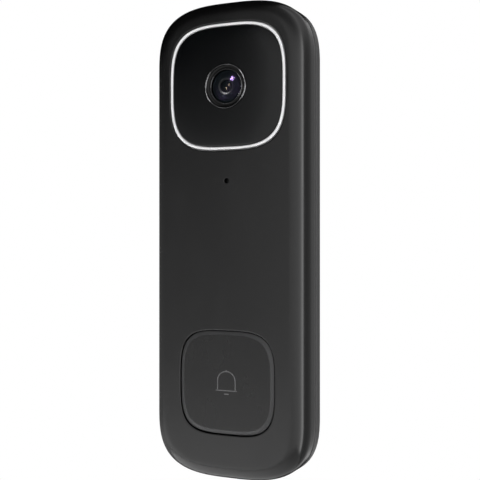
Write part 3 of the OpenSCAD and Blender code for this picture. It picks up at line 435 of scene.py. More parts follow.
def finish_piece(piece, body, slot, material, *nodes):
    """Gives a piece its material and its place in the construction, for the nodes that it replaces."""
    piece.data.materials.clear()
    piece.data.materials.append(material)
    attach(piece, body)
    if nodes:
        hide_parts(*nodes)


# ---------------------------------------------------------------- materials


def new_group(name, inputs, outputs):
    """A shader node group with named value or colour sockets; returns its tree and its two end nodes."""
    tree = bpy.data.node_groups.new(name, "ShaderNodeTree")
    for label, kind, default in inputs:
        socket = tree.interface.new_socket(name=label, in_out="INPUT", socket_type=kind)
        socket.default_value = default
    for label, kind in outputs:
        tree.interface.new_socket(name=label, in_out="OUTPUT", socket_type=kind)
    return tree, tree.nodes.new("NodeGroupInput"), tree.nodes.new("NodeGroupOutput")


def feed(tree, value, socket):
    """Gives a socket a constant, or a link from another socket."""
    if isinstance(value, (int, float)):
        socket.default_value = value
    else:
        tree.links.new(value, socket)


def noise(tree, scale, detail=2.0, stretch=None):
    """A noise texture on Object coordinates, stretched by a Mapping node if asked."""
    texture = tree.nodes.new("ShaderNodeTexNoise")
    texture.inputs["Detail"].default_value = detail
    source = object_coordinates(tree)
    if stretch:
        mapping = tree.nodes.new("ShaderNodeMapping")
        mapping.inputs["Scale"].default_value = stretch
        tree.links.new(source, mapping.inputs["Vector"])
        source = mapping.outputs["Vector"]
    tree.links.new(source, texture.inputs["Vector"])
    feed(tree, scale, texture.inputs["Scale"])
    return texture.outputs["Fac"]


def remap(tree, value, low_in, high_in, low_out=0.0, high_out=1.0, smooth=False):
    """A Map Range node whose limits are numbers or sockets."""
    node = tree.nodes.new("ShaderNodeMapRange")
    node.interpolation_type = "SMOOTHSTEP" if smooth else "LINEAR"
    tree.links.new(value, node.inputs["Value"])
    limits = {"From Min": low_in, "From Max": high_in, "To Min": low_out, "To Max": high_out}
    for label, limit in limits.items():
        feed(tree, limit, node.inputs[label])
    return node.outputs["Result"]


def math_node(tree, operation, first, second):
    """A Math node on two numbers or sockets."""
    node = tree.nodes.new("ShaderNodeMath")
    node.operation = operation
    feed(tree, first, node.inputs[0])
    feed(tree, second, node.inputs[1])
    return node.outputs["Value"]


def object_coordinates(tree):
    """The Object output of a Texture Coordinate node."""
    return tree.nodes.new("ShaderNodeTexCoord").outputs["Object"]


def handling_group():
    """Faint smudges: a roughness that rises where a broad noise and fine streaks meet."""
    tree, ends, out = new_group(
        "handling",
        [("Roughness", "NodeSocketFloat", 0.25), ("Spread", "NodeSocketFloat", 0.04)],
        [("Roughness", "NodeSocketFloat")],
    )
    both = math_node(tree, "MULTIPLY", noise(tree, 55.0, 3.0), noise(tree, 160.0, 4.0, (1.0, 1.0, 0.35)))
    smudge = remap(tree, both, 0.18, 0.42, smooth=True)
    rise = math_node(tree, "MULTIPLY", smudge, ends.outputs["Spread"])
    tree.links.new(math_node(tree, "ADD", ends.outputs["Roughness"], rise), out.inputs["Roughness"])
    return tree


def grain_group():
    """Spark-eroded mould grain: a fine two-scale height and a matching mask."""
    tree, ends, out = new_group(
        "moulded_grain",
        [("Scale", "NodeSocketFloat", 4000.0)],
        [("Height", "NodeSocketFloat"), ("Mask", "NodeSocketFloat")],
    )
    scale = ends.outputs["Scale"]
    fine = math_node(tree, "MULTIPLY", noise(tree, scale, 1.0), 0.6)
    coarse = math_node(tree, "MULTIPLY", noise(tree, math_node(tree, "MULTIPLY", scale, 0.31)), 0.4)
    height = math_node(tree, "ADD", fine, coarse)
    tree.links.new(height, out.inputs["Height"])
    tree.links.new(remap(tree, height, 0.4, 0.62), out.inputs["Mask"])
    return tree


def mottle_group():
    """Slight uneven tone: the colour is darkened or lightened by a slow noise."""
    tree, ends, out = new_group(
        "mottle",
        [
            ("Colour", "NodeSocketColor", (0.5, 0.5, 0.5, 1)),
            ("Amount", "NodeSocketFloat", 0.1),
            ("Scale", "NodeSocketFloat", 300.0),
        ],
        [("Colour", "NodeSocketColor")],
    )
    wave = noise(tree, ends.outputs["Scale"], 3.0)
    low_tone = math_node(tree, "SUBTRACT", 1.0, ends.outputs["Amount"])
    high_tone = math_node(tree, "ADD", 1.0, ends.outputs["Amount"])
    scale = tree.nodes.new("ShaderNodeVectorMath")
    scale.operation = "SCALE"
    tree.links.new(ends.outputs["Colour"], scale.inputs["Vector"])
    tree.links.new(remap(tree, wave, 0.3, 0.7, low_tone, high_tone), scale.inputs["Scale"])
    tree.links.new(scale.outputs["Vector"], out.inputs["Colour"])
    return tree


def rolling_group():
    """Rolling lines of sheet metal and turned wire: long fine streaks as height and mask."""
    tree, ends, out = new_group(
        "rolled_lines",
        [("Scale", "NodeSocketFloat", 900.0)],
        [("Height", "NodeSocketFloat"), ("Mask", "NodeSocketFloat")],
    )
    streaks = noise(tree, ends.outputs["Scale"], 3.0, (1.0, 1.0, 0.04))
    tree.links.new(streaks, out.inputs["Height"])
    tree.links.new(remap(tree, streaks, 0.35, 0.65), out.inputs["Mask"])
    return tree


GROUP_MAKERS = {
    "handling": handling_group,
    "moulded_grain": grain_group,
    "mottle": mottle_group,
    "rolled_lines": rolling_group,
}


def place_group(tree, name, **values):
    """Adds a shared effect to a material, building it the first time, and sets its inputs."""
    node = tree.nodes.new("ShaderNodeGroup")
    node.node_tree = bpy.data.node_groups.get(name) or GROUP_MAKERS[name]()
    for label, value in values.items():
        node.inputs[label.capitalize()].default_value = value
    return node


def new_material(name, constants=None):
    """A node material with some constants in its shader; returns the material, its tree and the shader."""
    material = bpy.data.materials.new(name)
    material.use_nodes = True
    tree = material.node_tree
    shader = tree.nodes["Principled BSDF"]
    for label, value in (constants or {}).items():
        shader.inputs[label].default_value = value
    return material, tree, shader


def uneven_colour(tree, shader, colour, amount, scale):
    """Feeds a slightly mottled colour into the shader."""
    tone = place_group(tree, "mottle", colour=(*colour, 1), amount=amount, scale=scale)
    tree.links.new(tone.outputs["Colour"], shader.inputs["Base Color"])


def smudged(tree, shader, roughness, spread):
    """Feeds a roughness with faint smudges into the shader."""
    hands = place_group(tree, "handling", roughness=roughness, spread=spread)
    tree.links.new(hands.outputs["Roughness"], shader.inputs["Roughness"])


def add_bump(tree, shader, height, distance):
    """Feeds a height into the shader's normal."""
    bump = tree.nodes.new("ShaderNodeBump")
    bump.inputs["Distance"].default_value = distance
    bump.inputs["Strength"].default_value = 1.0
    tree.links.new(height, bump.inputs["Height"])
    tree.links.new(bump.outputs["Normal"], shader.inputs["Normal"])


def relief(tree, shader, effect, scale, rough_from, rough_to, depth):
    """Places a shared effect: its mask drives the roughness between two values, its height the normal."""
    group = place_group(tree, effect, scale=scale)
    rough = remap(tree, group.outputs["Mask"], 0.0, 1.0, rough_from, rough_to)
    tree.links.new(rough, shader.inputs["Roughness"])
    add_bump(tree, shader, group.outputs["Height"], depth)


def gloss_plastic(name, colour, roughness=0.25, spread=0.05, mottle=0.03, constants=None):
    """Polished moulding with faint smudges."""
    material, tree, shader = new_material(name, constants)
    uneven_colour(tree, shader, colour, mottle, 120.0)
    smudged(tree, shader, roughness, spread)
    return material


def even_gloss(name, colour, roughness, spread, constants):
    """A polished surface of one even colour."""
    return gloss_plastic(name, colour, roughness, spread, 0.0, constants)


def satin_plastic(name, colour, roughness=0.45, grain=4500.0, depth=0.004 * MM, mottle=0.06, constants=None):
    """Grained moulding: fine bump, and roughness that follows the grain."""
    material, tree, shader = new_material(name, constants)
    uneven_colour(tree, shader, colour, mottle, 260.0)
    relief(tree, shader, "moulded_grain", grain, roughness - 0.05, roughness + 0.05, depth)
    return material


def rubber(name, colour, roughness=0.75, specular=0.35, sheen=0.25):
    """Matt elastomer with a soft sheen."""
    constants = {"Sheen Weight": sheen, SPECULAR: specular}
    return satin_plastic(name, colour, roughness, 2500.0, 0.008 * MM, 0.1, constants)


def rolled_metal(name, colour, roughness=0.3, lines=900.0):
    """Sheet or wire with rolling lines."""
    material, tree, shader = new_material(name, {"Metallic": 1.0})
    uneven_colour(tree, shader, colour, 0.07, 200.0)
    relief(tree, shader, "rolled_lines", lines, roughness - 0.08, roughness + 0.1, 0.003 * MM)
    return material


def circuit_board(name, colour):
    """Solder mask over copper: a grid of tracks shows as paler lines and slight relief."""
    material, tree, shader = new_material(name)
    bricks = tree.nodes.new("ShaderNodeTexBrick")
    bricks.inputs["Scale"].default_value = 420.0
    bricks.inputs["Mortar Size"].default_value = 0.035
    for label, factor in (("Color1", 1.0), ("Color2", 0.86), ("Mortar", 1.7)):
        bricks.inputs[label].default_value = (*(factor * c for c in colour), 1)
    turn = tree.nodes.new("ShaderNodeMapping")
    turn.inputs["Rotation"].default_value = (math.radians(90), 0, 0)
    tree.links.new(object_coordinates(tree), turn.inputs["Vector"])
    tree.links.new(turn.outputs["Vector"], bricks.inputs["Vector"])
    tree.links.new(bricks.outputs["Color"], shader.inputs["Base Color"])
    smudged(tree, shader, 0.3, 0.1)
    add_bump(tree, shader, bricks.outputs["Fac"], 0.01 * MM)
    return material


def clear_glass(name, colour, coating=0.0):
    """Optical glass, with an interference coating where one is given, in nanometres."""
    constants = {"Transmission Weight": 1.0, "IOR": 1.52}
    if coating:
        constants |= {"Thin Film Thickness": coating, "Thin Film IOR": 1.38}
    material, tree, shader = new_material(name, constants)
    uneven_colour(tree, shader, colour, 0.02, 150.0)
    smudged(tree, shader, 0.02, 0.02)
    return material


def button_plastic(name, colour, band_colour):
    """The button: polished in the middle, satin and paler on the bevel, where the piece's band is 1."""
    material, tree, shader = new_material(name, {SPECULAR: 0.44})
    band = tree.nodes.new("ShaderNodeAttribute")
    band.attribute_name = "band"
    mix = tree.nodes.new("ShaderNodeMix")
    mix.data_type = "RGBA"
    factor, first, second = mix.inputs[0], mix.inputs[6], mix.inputs[7]
    first.default_value = (*colour, 1)
    second.default_value = (*band_colour, 1)
    tree.links.new(band.outputs["Fac"], factor)
    tree.links.new(mix.outputs[2], shader.inputs["Base Color"])
    hands = place_group(tree, "handling", roughness=0.25, spread=0.05)
    rough = remap(tree, band.outputs["Fac"], 0.0, 1.0, hands.outputs["Roughness"], 0.5)
    tree.links.new(rough, shader.inputs["Roughness"])
    return material


def fine_satin(name, colour, roughness, specular):
    """Blackened inner surface with a very fine grain."""
    return satin_plastic(name, colour, roughness, 6000.0, 0.0005 * MM, constants={SPECULAR: specular})


def coated_glass(name, tint):
    """Thin lens whose coating reflects a little of one colour and lets the rest straight through."""
    constants = {"Specular Tint": (*tint, 1), "Alpha": 0.12}
    return even_gloss(name, (0.001, 0.001, 0.0012), 0.1, 0.01, constants)


def milky_guide(name, colour, glow):
    """Light guide: scattering white plastic with a faint glow of its own."""
    constants = {
        "Subsurface Weight": 0.3,
        "Subsurface Radius": (1.0, 1.0, 1.0),
        "Subsurface Scale": 0.4 * MM,
        "Emission Color": (1.0, 0.99, 0.97, 1),
        "Emission Strength": glow,
    }
    return gloss_plastic(name, colour, 0.35, 0.05, 0.01, constants)


def woven(name, colour, pitch=0.25 * MM):
    """Fine mesh: two crossing waves as weave height and tone."""
    material, tree, shader = new_material(name)
    place = object_coordinates(tree)
    waves = []
    for direction in ("X", "Z"):
        wave = tree.nodes.new("ShaderNodeTexWave")
        wave.bands_direction = direction
        wave.inputs["Scale"].default_value = 0.05 / pitch
        tree.links.new(place, wave.inputs["Vector"])
        waves.append(wave.outputs["Fac"])
    weave = math_node(tree, "MAXIMUM", *waves)
    uneven_colour(tree, shader, colour, 0.1, 300.0)
    tree.links.new(remap(tree, weave, 0.0, 1.0, 0.8, 0.45), shader.inputs["Roughness"])
    add_bump(tree, shader, weave, 0.05 * MM)
    return material


FINISHES = {
    "rear_shell": (satin_plastic, {"roughness": 0.36, "grain": 5200.0, "depth": 0.0015 * MM, "mottle": 0.03}),
    "plate_plastic": (satin_plastic, {"roughness": 0.55, "grain": 2600.0, "depth": 0.01 * MM}),
    "spring_steel": (rolled_metal, {"roughness": 0.22, "lines": 1200.0}),
    "screw_steel": (rolled_metal, {"roughness": 0.3}),
    "seal_rubber": (rubber, {}),
    "circuit_board": (circuit_board, {}),
    "lamp_white": (gloss_plastic, {"roughness": 0.3}),
    "infrared_lamp": (gloss_plastic, {"roughness": 0.12}),
    "sensor_dark": (gloss_plastic, {"roughness": 0.15}),
    "bezel_dark": (satin_plastic, {"roughness": 0.34, "grain": 6000.0, "depth": 0.001 * MM}),
    "lens_glass": (clear_glass, {}),
    "barrel_black": (satin_plastic, {"roughness": 0.6, "grain": 3000.0}),
    "inner_plastic": (satin_plastic, {"roughness": 0.5}),
    "sensor_glass": (clear_glass, {"coating": 520.0}),
    "flex_film": (gloss_plastic, {"roughness": 0.28, "mottle": 0.12}),
    "chip_black": (satin_plastic, {"roughness": 0.55, "grain": 3200.0}),
    "tin_plate": (rolled_metal, {"roughness": 0.28, "lines": 1400.0}),
    "pad_grey": (rubber, {"roughness": 0.85}),
    "gold_contact": (rolled_metal, {"roughness": 0.24}),
    "capacitor_sleeve": (gloss_plastic, {"roughness": 0.35, "mottle": 0.08}),
    "ferrite": (satin_plastic, {"roughness": 0.7, "grain": 1800.0, "depth": 0.02 * MM, "mottle": 0.15}),
    "connector_ivory": (satin_plastic, {"roughness": 0.4}),
    "mesh_grey": (woven, {}),
    "cone_grey": (woven, {"pitch": 0.12 * MM}),
    "copper_wire": (rolled_metal, {"roughness": 0.3, "lines": 2600.0}),
    "lead_red": (gloss_plastic, {"roughness": 0.4}),
    "membrane": (rubber, {"roughness": 0.65}),
    "plunger_white": (satin_plastic, {"roughness": 0.4}),
    "terminal_plastic": (satin_plastic, {"roughness": 0.5}),
    "terminal_brass": (rolled_metal, {"roughness": 0.32}),
}


def slot_material(slot):
    """The finish of one of the record's slots, made the first time it is asked for."""
    name = f"{slot}_finish"
    return bpy.data.materials.get(name) or make_finish(slot, name)


def make_finish(slot, name):
    """A new finish: from the values for the outer pieces, and otherwise in the record's colour."""
    scene = bpy.context.scene
    housing, ring, button = scene.housing, scene.ring, scene.button
    if slot == "gloss_shell":
        return gloss_plastic(name, housing.colour, housing.roughness)
    if slot == "button_cap":
        return button_plastic(name, button.colour, button.band_colour)
    if slot == "ring_diffuser":
        return milky_guide(name, ring.colour, ring.glow)
    if slot == "window_dark":
        return even_gloss(name, ring.window_colour, 0.14, 0.03, {SPECULAR: 0.3})
    maker, settings = FINISHES[slot]
    # The mesh's near-black colour is painted shade for the port's depth; the rear shell's colour is its own.
    chosen = {"rear_shell": housing.rear_colour, "mesh_grey": housing.mesh_shade_colour}
    recorded = next(entry for entry in frame["record"]["materials"] if entry["slot"] == slot)
    return maker(name, chosen.get(slot, recorded["base_color"][:3]), **settings)


# ---------------------------------------------------------------- pieces of the doorbell


def front_shell(values, ring, button):
    """The front housing: face in three zones round its seats, rounded edge, sides, seam lip and inside."""
    inner_y = FRONT_Y + values.wall
    mic_r = values.mic_r
    ring_half = RING_FOOT_HALF - ring.foot + ring.seat_gap
    button_half = BUTTON_FLANGE_HALF - button.flange + button.gap
    camera_line = (CAMERA_Z - ring_half + MIC_Z + mic_r) / 2
    button_line = (MIC_Z - mic_r + BUTTON_Z + button_half) / 2
    outline = Outline(values, (camera_line, button_line))
    camera_zone = [("right", 2), ("top", 0), ("left", 2), ("rightwards", 1)]
    mic_zone = [("right", 1), ("leftwards", 1), ("left", 1), ("rightwards", 0)]
    button_zone = [("right", 0), ("leftwards", 0), ("left", 0), ("bottom", 0)]
    zones = (
        (camera_zone, CAMERA_Z, ring_half, ring.power),
        (mic_zone, MIC_Z, mic_r, 2.0),
        (button_zone, BUTTON_Z, button_half, button.power),
    )
    grids = []
    for names, centre_z, half, power in zones:
        face = outline.loop(names, values.edge_in)
        inside = outline.loop(names, values.wall + INSIDE_ROUND)
        grids.append(zone_rows(face, inside, centre_z, half, power, min(values.rim, half / 10), inner_y))
    grids.append(front_edge(values, outline, inner_y))
    return cut(weld("front_shell", grids), sound_slots())


def front_edge(values, outline, inner_y):
    """The front edge, side, seam and inner wall: each ring of the outline at its own inset and depth.

    Behind the edge come the side with its rounded rim, the seam's groove, the thinner wall that makes
    room for the rear shell's lip, and the inside with a rounded corner.
    """
    soft, groove, lip_room = 0.1 * MM, 0.5 * MM, 2.3 * MM
    rim_y = FRONT_BACK_Y - values.seam
    lip_wall, lip_y = values.wall / 2 + 0.1 * MM, FRONT_BACK_Y - lip_room
    profile = [*edge_section(values, 22), (0, rim_y - 4 * soft), (0, rim_y - soft)]
    profile += [(soft * b, rim_y - soft * a) for a, b in quarter_turn(3)]
    profile += [(groove, rim_y), (groove, FRONT_BACK_Y), (lip_wall, FRONT_BACK_Y)]
    profile += [(lip_wall, lip_y), (values.wall, lip_y), (values.wall, inner_y + INSIDE_ROUND)]
    profile += [(values.wall + INSIDE_ROUND * b, inner_y + INSIDE_ROUND * a) for a, b in quarter_turn(3)]
    return outline.tube(profile)


def edge_section(values, steps):
    """Points (inset, y) of the superelliptic front edge, from the face to the side.

    inset = reach (1 - cos(a)^(2/power)) and y = front + deep (1 - sin(a)^(2/power)), a from 90 to 0 degrees.
    """
    turn = np.radians(np.linspace(90, 0, steps))
    inset = values.edge_in * (1 - np.abs(np.cos(turn)) ** (2 / values.edge_power))
    depth = values.edge_deep * (1 - np.abs(np.sin(turn)) ** (2 / values.edge_power))
    return zip(inset, FRONT_Y + depth)


def seam_band(values):
    """Painted shade in the seam: the gasket's edge as a near-black band between two rings of the outline,
    below flush.
    """
    outer, inner = 0.05 * MM, 0.45 * MM
    front, back = FRONT_BACK_Y - values.seam + 0.01 * MM, FRONT_BACK_Y + 0.09 * MM
    rows = Outline(values, (0,)).tube([(outer, front), (outer, back), (inner, back), (inner, front)])
    return weld("seam_band", [rows], closed_rows=True)


def sound_slots():
    """Cutting tools for the five sound slots in the underside, below the speaker."""
    pitch, wide, deep, tall = 2.8 * MM, 1.3 * MM, 3.2 * MM, 6 * MM
    y = (low("speaker_frame").y + high("speaker_frame").y) / 2
    z = -HALF_H + 1.5 * MM
    return [stadium_prism("slot", wide, deep, tall, (k * pitch, y, z)) for k in range(-2, 3)]


def light_ring(values):
    """The ring: a band with a rounded crest, and the foot that seats it behind the front wall."""
    outer = RING_FOOT_HALF - values.foot - values.groove
    inner = WINDOW_HALF + values.groove
    middle, half = (outer + inner) / 2, (outer - inner) / 2
    foot_in = 2 * middle - RING_FOOT_HALF
    seat_y = RING_FOOT_Y - values.foot_rise
    profile = [(RING_FOOT_HALF, RING_FOOT_Y), (RING_FOOT_HALF, seat_y), (outer, seat_y)]
    profile += half_round(middle, half, FRONT_Y + 0.05 * MM, values.crest, 12)
    profile += [(inner, seat_y), (foot_in, seat_y), (foot_in, RING_FOOT_Y)]
    rows = [(reach, values.power, y) for reach, y in profile]
    return weld("light_band", [superellipse_loft(rows, CAMERA_Z)], closed_rows=True)


def camera_window(values, camera):
    """The dark window: y = front - dome (1 - 0.3 s^2 - 0.7 s^9), s from 0 at the middle to 1 at the edge.

    The section turns from a circle at the bored hole to the ring's superellipse at the edge.
    """
    hole, soft = camera.bezel_r + 0.1 * MM, 0.12 * MM
    rim_half = WINDOW_HALF - soft
    back_y = FRONT_Y + values.window_t
    share = np.linspace(0, 1, 26)
    half = hole + (rim_half - hole) * share
    power = 2 + (values.power - 2) * share**0.8
    reach = half / WINDOW_HALF
    y = FRONT_Y - values.dome * (1 - 0.3 * reach**2 - 0.7 * reach**9)
    rows = list(zip(half, power, y))
    rows += [(rim_half + soft * (1 - a), values.power, y[-1] + soft * b) for a, b in quarter_turn(3)]
    rows += [(WINDOW_HALF, values.power, back_y), (hole, 2.0, back_y)]
    return weld("window_cover", [superellipse_loft(rows, CAMERA_Z)], closed_rows=True)


def lens_bezel(values):
    """The bezel: a turned ring with a flange behind, a seat for the plated ridge, a funnel and a bead."""
    bead_half, bead_in = 0.14 * MM, LENS_R - 0.1 * MM
    outer, front = values.bezel_r, BEZEL_FRONT_Y
    ridge_in, seat_y = outer - values.crest, front + values.crest / 2 + 0.1 * MM
    funnel_out, funnel_in = ridge_in - 0.1 * MM, bead_in + 0.45 * MM
    flange, flange_y = outer + 0.9 * MM, BEZEL_BACK_Y - 0.55 * MM
    ledge, ledge_y = bead_in - 0.5 * MM, front + 1.75 * MM
    profile = [(flange, BEZEL_BACK_Y), (flange, flange_y), (outer, flange_y), (outer, seat_y)]
    profile += [(ridge_in, seat_y), (funnel_out, front + 0.62 * MM), (funnel_in, front + 0.74 * MM)]
    profile += half_round(bead_in + bead_half, bead_half, front + BEAD_DEEP, bead_half, 8)
    profile += [(bead_in, ledge_y), (ledge, ledge_y + 0.05 * MM), (ledge, BEZEL_BACK_Y)]
    return turned("camera_bezel", [profile], closed=True)


def bezel_crest(values):
    """The two plated beads: a soft ridge on the bezel's rim and the front half of a torus round the lens.

    Ridge: r = middle + half cos a, y = top + 0.65 half (sqrt(cos^2 a + 0.02) - 0.14).
    """
    half = values.crest / 2
    middle, top = values.bezel_r - half, BEZEL_FRONT_Y
    foot_y = top + half + 0.1 * MM
    turn = np.radians(np.linspace(0, 180, 13))
    rise = 0.65 * half * (np.sqrt(np.cos(turn) ** 2 + 0.02) - 0.14)
    ridge = [*zip(middle + half * np.cos(turn), top + rise), (middle - half, foot_y), (middle + half, foot_y)]
    bead_half = 0.16 * MM
    bead, bead_y = LENS_R - LENS_PLAY + bead_half, top + BEAD_DEEP
    torus = half_round(bead, bead_half, bead_y, bead_half, 12)
    torus += [(bead - bead_half, bead_y + 0.05 * MM), (bead + bead_half, bead_y + 0.05 * MM)]
    return turned("bezel_crest", [ridge, torus], closed=True)


def front_element(values):
    """The front lens, a thin turned meniscus: y = front + bulge (r/R)^2, and 0.97 of that a skin behind."""
    radius = LENS_R - LENS_PLAY
    share = np.linspace(0, 1, 18)
    front = LENS_FRONT_Y + values.bulge * share**2
    back = LENS_FRONT_Y + values.skin + 0.97 * values.bulge * share**2
    profile = [*zip(radius * share, front), *zip(radius * share[::-1], back[::-1])]
    return turned("front_element", [profile], 96)


def lens_baffle(values):
    """The stepped face behind the front lens: a retaining bead and a dished slope up to the pupil's rim.

    Down the slope, y goes from the bead's to the rim's as the sine of a quarter turn.
    """
    behind_lens = LENS_FRONT_Y + values.skin
    radius, edge_y = LENS_R - 0.2 * MM, behind_lens + 0.85 * values.bulge + 0.12 * MM
    back_y = LENS_FRONT_Y + 1.9 * MM
    rim, rim_y = values.pupil_r + 0.3 * MM, behind_lens + 0.36 * MM
    well, well_y = rim - 0.15 * MM, back_y - 0.55 * MM
    bead_half, bead = 0.16 * MM, radius - 0.36 * MM
    slope_r, slope_y = bead - bead_half, edge_y - 0.04 * MM
    share = np.linspace(0.06, 0.94, 7)
    profile = [(0, back_y), (radius, back_y), (radius, edge_y), (bead + bead_half, edge_y - 0.06 * MM)]
    profile += half_round(bead, bead_half, edge_y - 0.1 * MM, bead_half, 8)
    profile += zip(slope_r + (rim - slope_r) * share, slope_y + (rim_y - slope_y) * np.sin(share * np.pi / 2))
    profile += [(rim, rim_y), (well, rim_y), (well, well_y), (0, well_y)]
    return turned("lens_baffle", [profile], 96)


def pupil_rim(values):
    """The rim round the pupil: a flat cone that slopes inwards, y = lip + 0.32 (outer radius - r)."""
    lip_y = LENS_FRONT_Y + values.skin + 0.24 * MM
    back_y = lip_y + 0.45 * MM
    outer, inner = values.pupil_r + 0.28 * MM, values.pupil_r - 0.2 * MM
    radius = np.linspace(outer, inner, 5)
    profile = [*zip(radius, lip_y + 0.32 * (outer - radius)), (inner, back_y), (outer, back_y)]
    return turned("pupil_rim", [profile], 96, closed=True)


def second_element(values):
    """The small second lens deep in the pupil: half an ellipsoid, y = back - rise cos a, r = radius sin a."""
    radius, rise = values.pupil_r - 0.35 * MM, 0.62 * MM
    back_y = LENS_FRONT_Y + 1.36 * MM
    foot_y = back_y + 0.02 * MM
    turn = np.radians(np.linspace(0, 90, 12))
    profile = [*zip(radius * np.sin(turn), back_y - rise * np.cos(turn)), (radius, foot_y), (0, foot_y)]
    return turned("second_element", [profile], 64)


def button_cap(values):
    """The button: flat face, softened bevel, skirt, flange and hollow back with its round pressing post.

    The face bends into the bevel by y = front + 0.035 b^2 mm, b from 0 to 1. The post ends short of the
    flange's back, which leaves room for the rubber nub that it presses.
    """
    power, soft, bend = values.power, 0.12 * MM, 0.1 * MM
    face = BUTTON_FLANGE_HALF - values.flange
    flat = face - values.bevel
    bevel_y = FRONT_Y + values.bevel_deep
    edge_y = bevel_y - 0.02 * MM
    skirt_y = low("button_membrane").y
    hollow, hollow_y = face - 1.2 * MM, bevel_y + 1.1 * MM
    post, post_y = 3 * MM, BUTTON_BACK_Y - values.stroke_room
    profile = [(0, FRONT_Y), (flat * 0.5, FRONT_Y), (flat - 4 * bend, FRONT_Y)]
    profile += [(flat - bend + 2 * bend * b, FRONT_Y + 0.035 * MM * b * b) for b in np.linspace(0, 1, 5)]
    profile += [(face - 0.3 * MM, bevel_y - 0.09 * MM), (face - soft, edge_y)]
    profile += [(face - soft * a, edge_y + soft * b) for a, b in quarter_turn(3)]
    profile += [(face, skirt_y), (BUTTON_FLANGE_HALF, skirt_y), (BUTTON_FLANGE_HALF, BUTTON_BACK_Y)]
    profile += [(hollow, BUTTON_BACK_Y), (hollow, hollow_y)]
    rows = [(half, power, y) for half, y in profile]
    rows += [(post, 2.0, hollow_y), (post, 2.0, post_y), (0, 2.0, post_y)]
    cap = weld("button_cap", [superellipse_loft(rows, BUTTON_Z)])
    paint_band(cap, flat - bend, flat + bend, power)
    return cap


def paint_band(cap, start, end, power):
    """Stores how far each point lies out on the bevel: 0 up to a half width, 1 from another on."""
    place = np.empty(len(cap.data.vertices) * 3)
    cap.data.vertices.foreach_get("co", place)
    x, _, z = place.reshape(-1, 3).T
    half = (np.abs(x) ** power + np.abs(z - BUTTON_Z) ** power) ** (1 / power)
    band = cap.data.attributes.new("band", "FLOAT", "POINT")
    band.data.foreach_set("value", np.clip((half - start) / (end - start), 0, 1))


def bell_symbol(values):
    """A plain bell in outline: an arch on two legs, a rim line, a top knob and a clapper dash."""
    half, rim_half, dash_half = 2.62 * MM, 3.15 * MM, 0.7 * MM
    base_z, shoulder_z = BUTTON_Z - 2.1 * MM, BUTTON_Z + 0.45 * MM
    top_z, dash_z = shoulder_z + half, base_z - 0.95 * MM
    turn = np.linspace(0, np.pi, 25)
    arch = np.stack([half * np.cos(turn), shoulder_z + half * np.sin(turn)], axis=-1)
    paths = (
        np.array([(half, base_z), *arch, (-half, base_z)]),
        np.array([(-rim_half, base_z), (rim_half, base_z)]),
        np.array([(0, top_z), (0, top_z + 0.42 * MM)]),
        np.array([(-dash_half, dash_z), (dash_half, dash_z)]),
    )
    front_y, back_y = FRONT_Y - 0.012 * MM, FRONT_Y + 0.1 * MM
    return weld("bell_symbol", [stroke_grid(path, values.stroke, front_y, back_y) for path in paths])


def stroke_grid(path, width, front_y, back_y):
    """A grid of points for a flat line of constant width along a path in X and Z, with square closed ends.

    Each point of the path is carried sideways by half the width along the mean normal of its two
    stretches, lengthened by 1/cos of half the bend.
    """
    step = np.diff(path, axis=0)
    step /= np.linalg.norm(step, axis=1)[:, None]
    normal = np.stack([-step[:, 1], step[:, 0]], axis=-1)
    mean = np.vstack([normal[:1], normal]) + np.vstack([normal, normal[-1:]])
    mean *= (2 / np.sum(mean * mean, axis=1))[:, None]
    left, right = path + mean * width / 2, path - mean * width / 2
    corners = ((left, front_y), (right, front_y), (right, back_y), (left, back_y))
    ring = np.stack([np.insert(side, 1, y, axis=1) for side, y in corners], axis=1)
    middle = np.repeat(ring.mean(axis=1, keepdims=True), 4, axis=1)
    return np.concatenate([middle[:1], ring, middle[-1:]])


# ---------------------------------------------------------------- operators


class DOORBELL_OT_finishes(Operator):
    """Gives every construction node the material of its slot"""

    bl_idname = "doorbell.finishes"
    bl_label = "Finishes"

    def execute(self, context):
        for part in frame["record"]["subparts"]:
            mesh = frame["nodes"][part["node"]].data
            mesh.materials.clear()
            mesh.materials.append(slot_material(part["material_slot"]))
        return {"FINISHED"}


class DOORBELL_OT_front_shell(Operator):
    """Builds the polished front housing and the near-black band of painted shade in its seam"""

    bl_idname = "doorbell.front_shell"
    bl_label = "Front shell"

    def execute(self, context):
        scene = context.scene
        shell = front_shell(scene.housing, scene.ring, scene.button)
        finish_piece(shell, "doorbell", "gloss_shell", slot_material("gloss_shell"), "front_housing")
        # The band in the seam is near black as painted shade for the groove's shadow.
        band = rubber("seam_shade_rubber", scene.housing.seam_shade_colour, specular=0.1, sheen=0.0)
        finish_piece(seam_band(scene.housing), "doorbell", "seal_rubber", band)
        return {"FINISHED"}


class DOORBELL_OT_ring_and_window(Operator):
    """Builds the light ring and the dark camera window"""

    bl_idname = "doorbell.ring_and_window"
    bl_label = "Ring and window"

    def execute(self, context):
        scene = context.scene
        band, cover = light_ring(scene.ring), camera_window(scene.ring, scene.camera_values)
        finish_piece(band, "doorbell", "ring_diffuser", slot_material("ring_diffuser"), "light_ring")
        finish_piece(cover, "doorbell", "window_dark", slot_material("window_dark"), "camera_window")
        return {"FINISHED"}


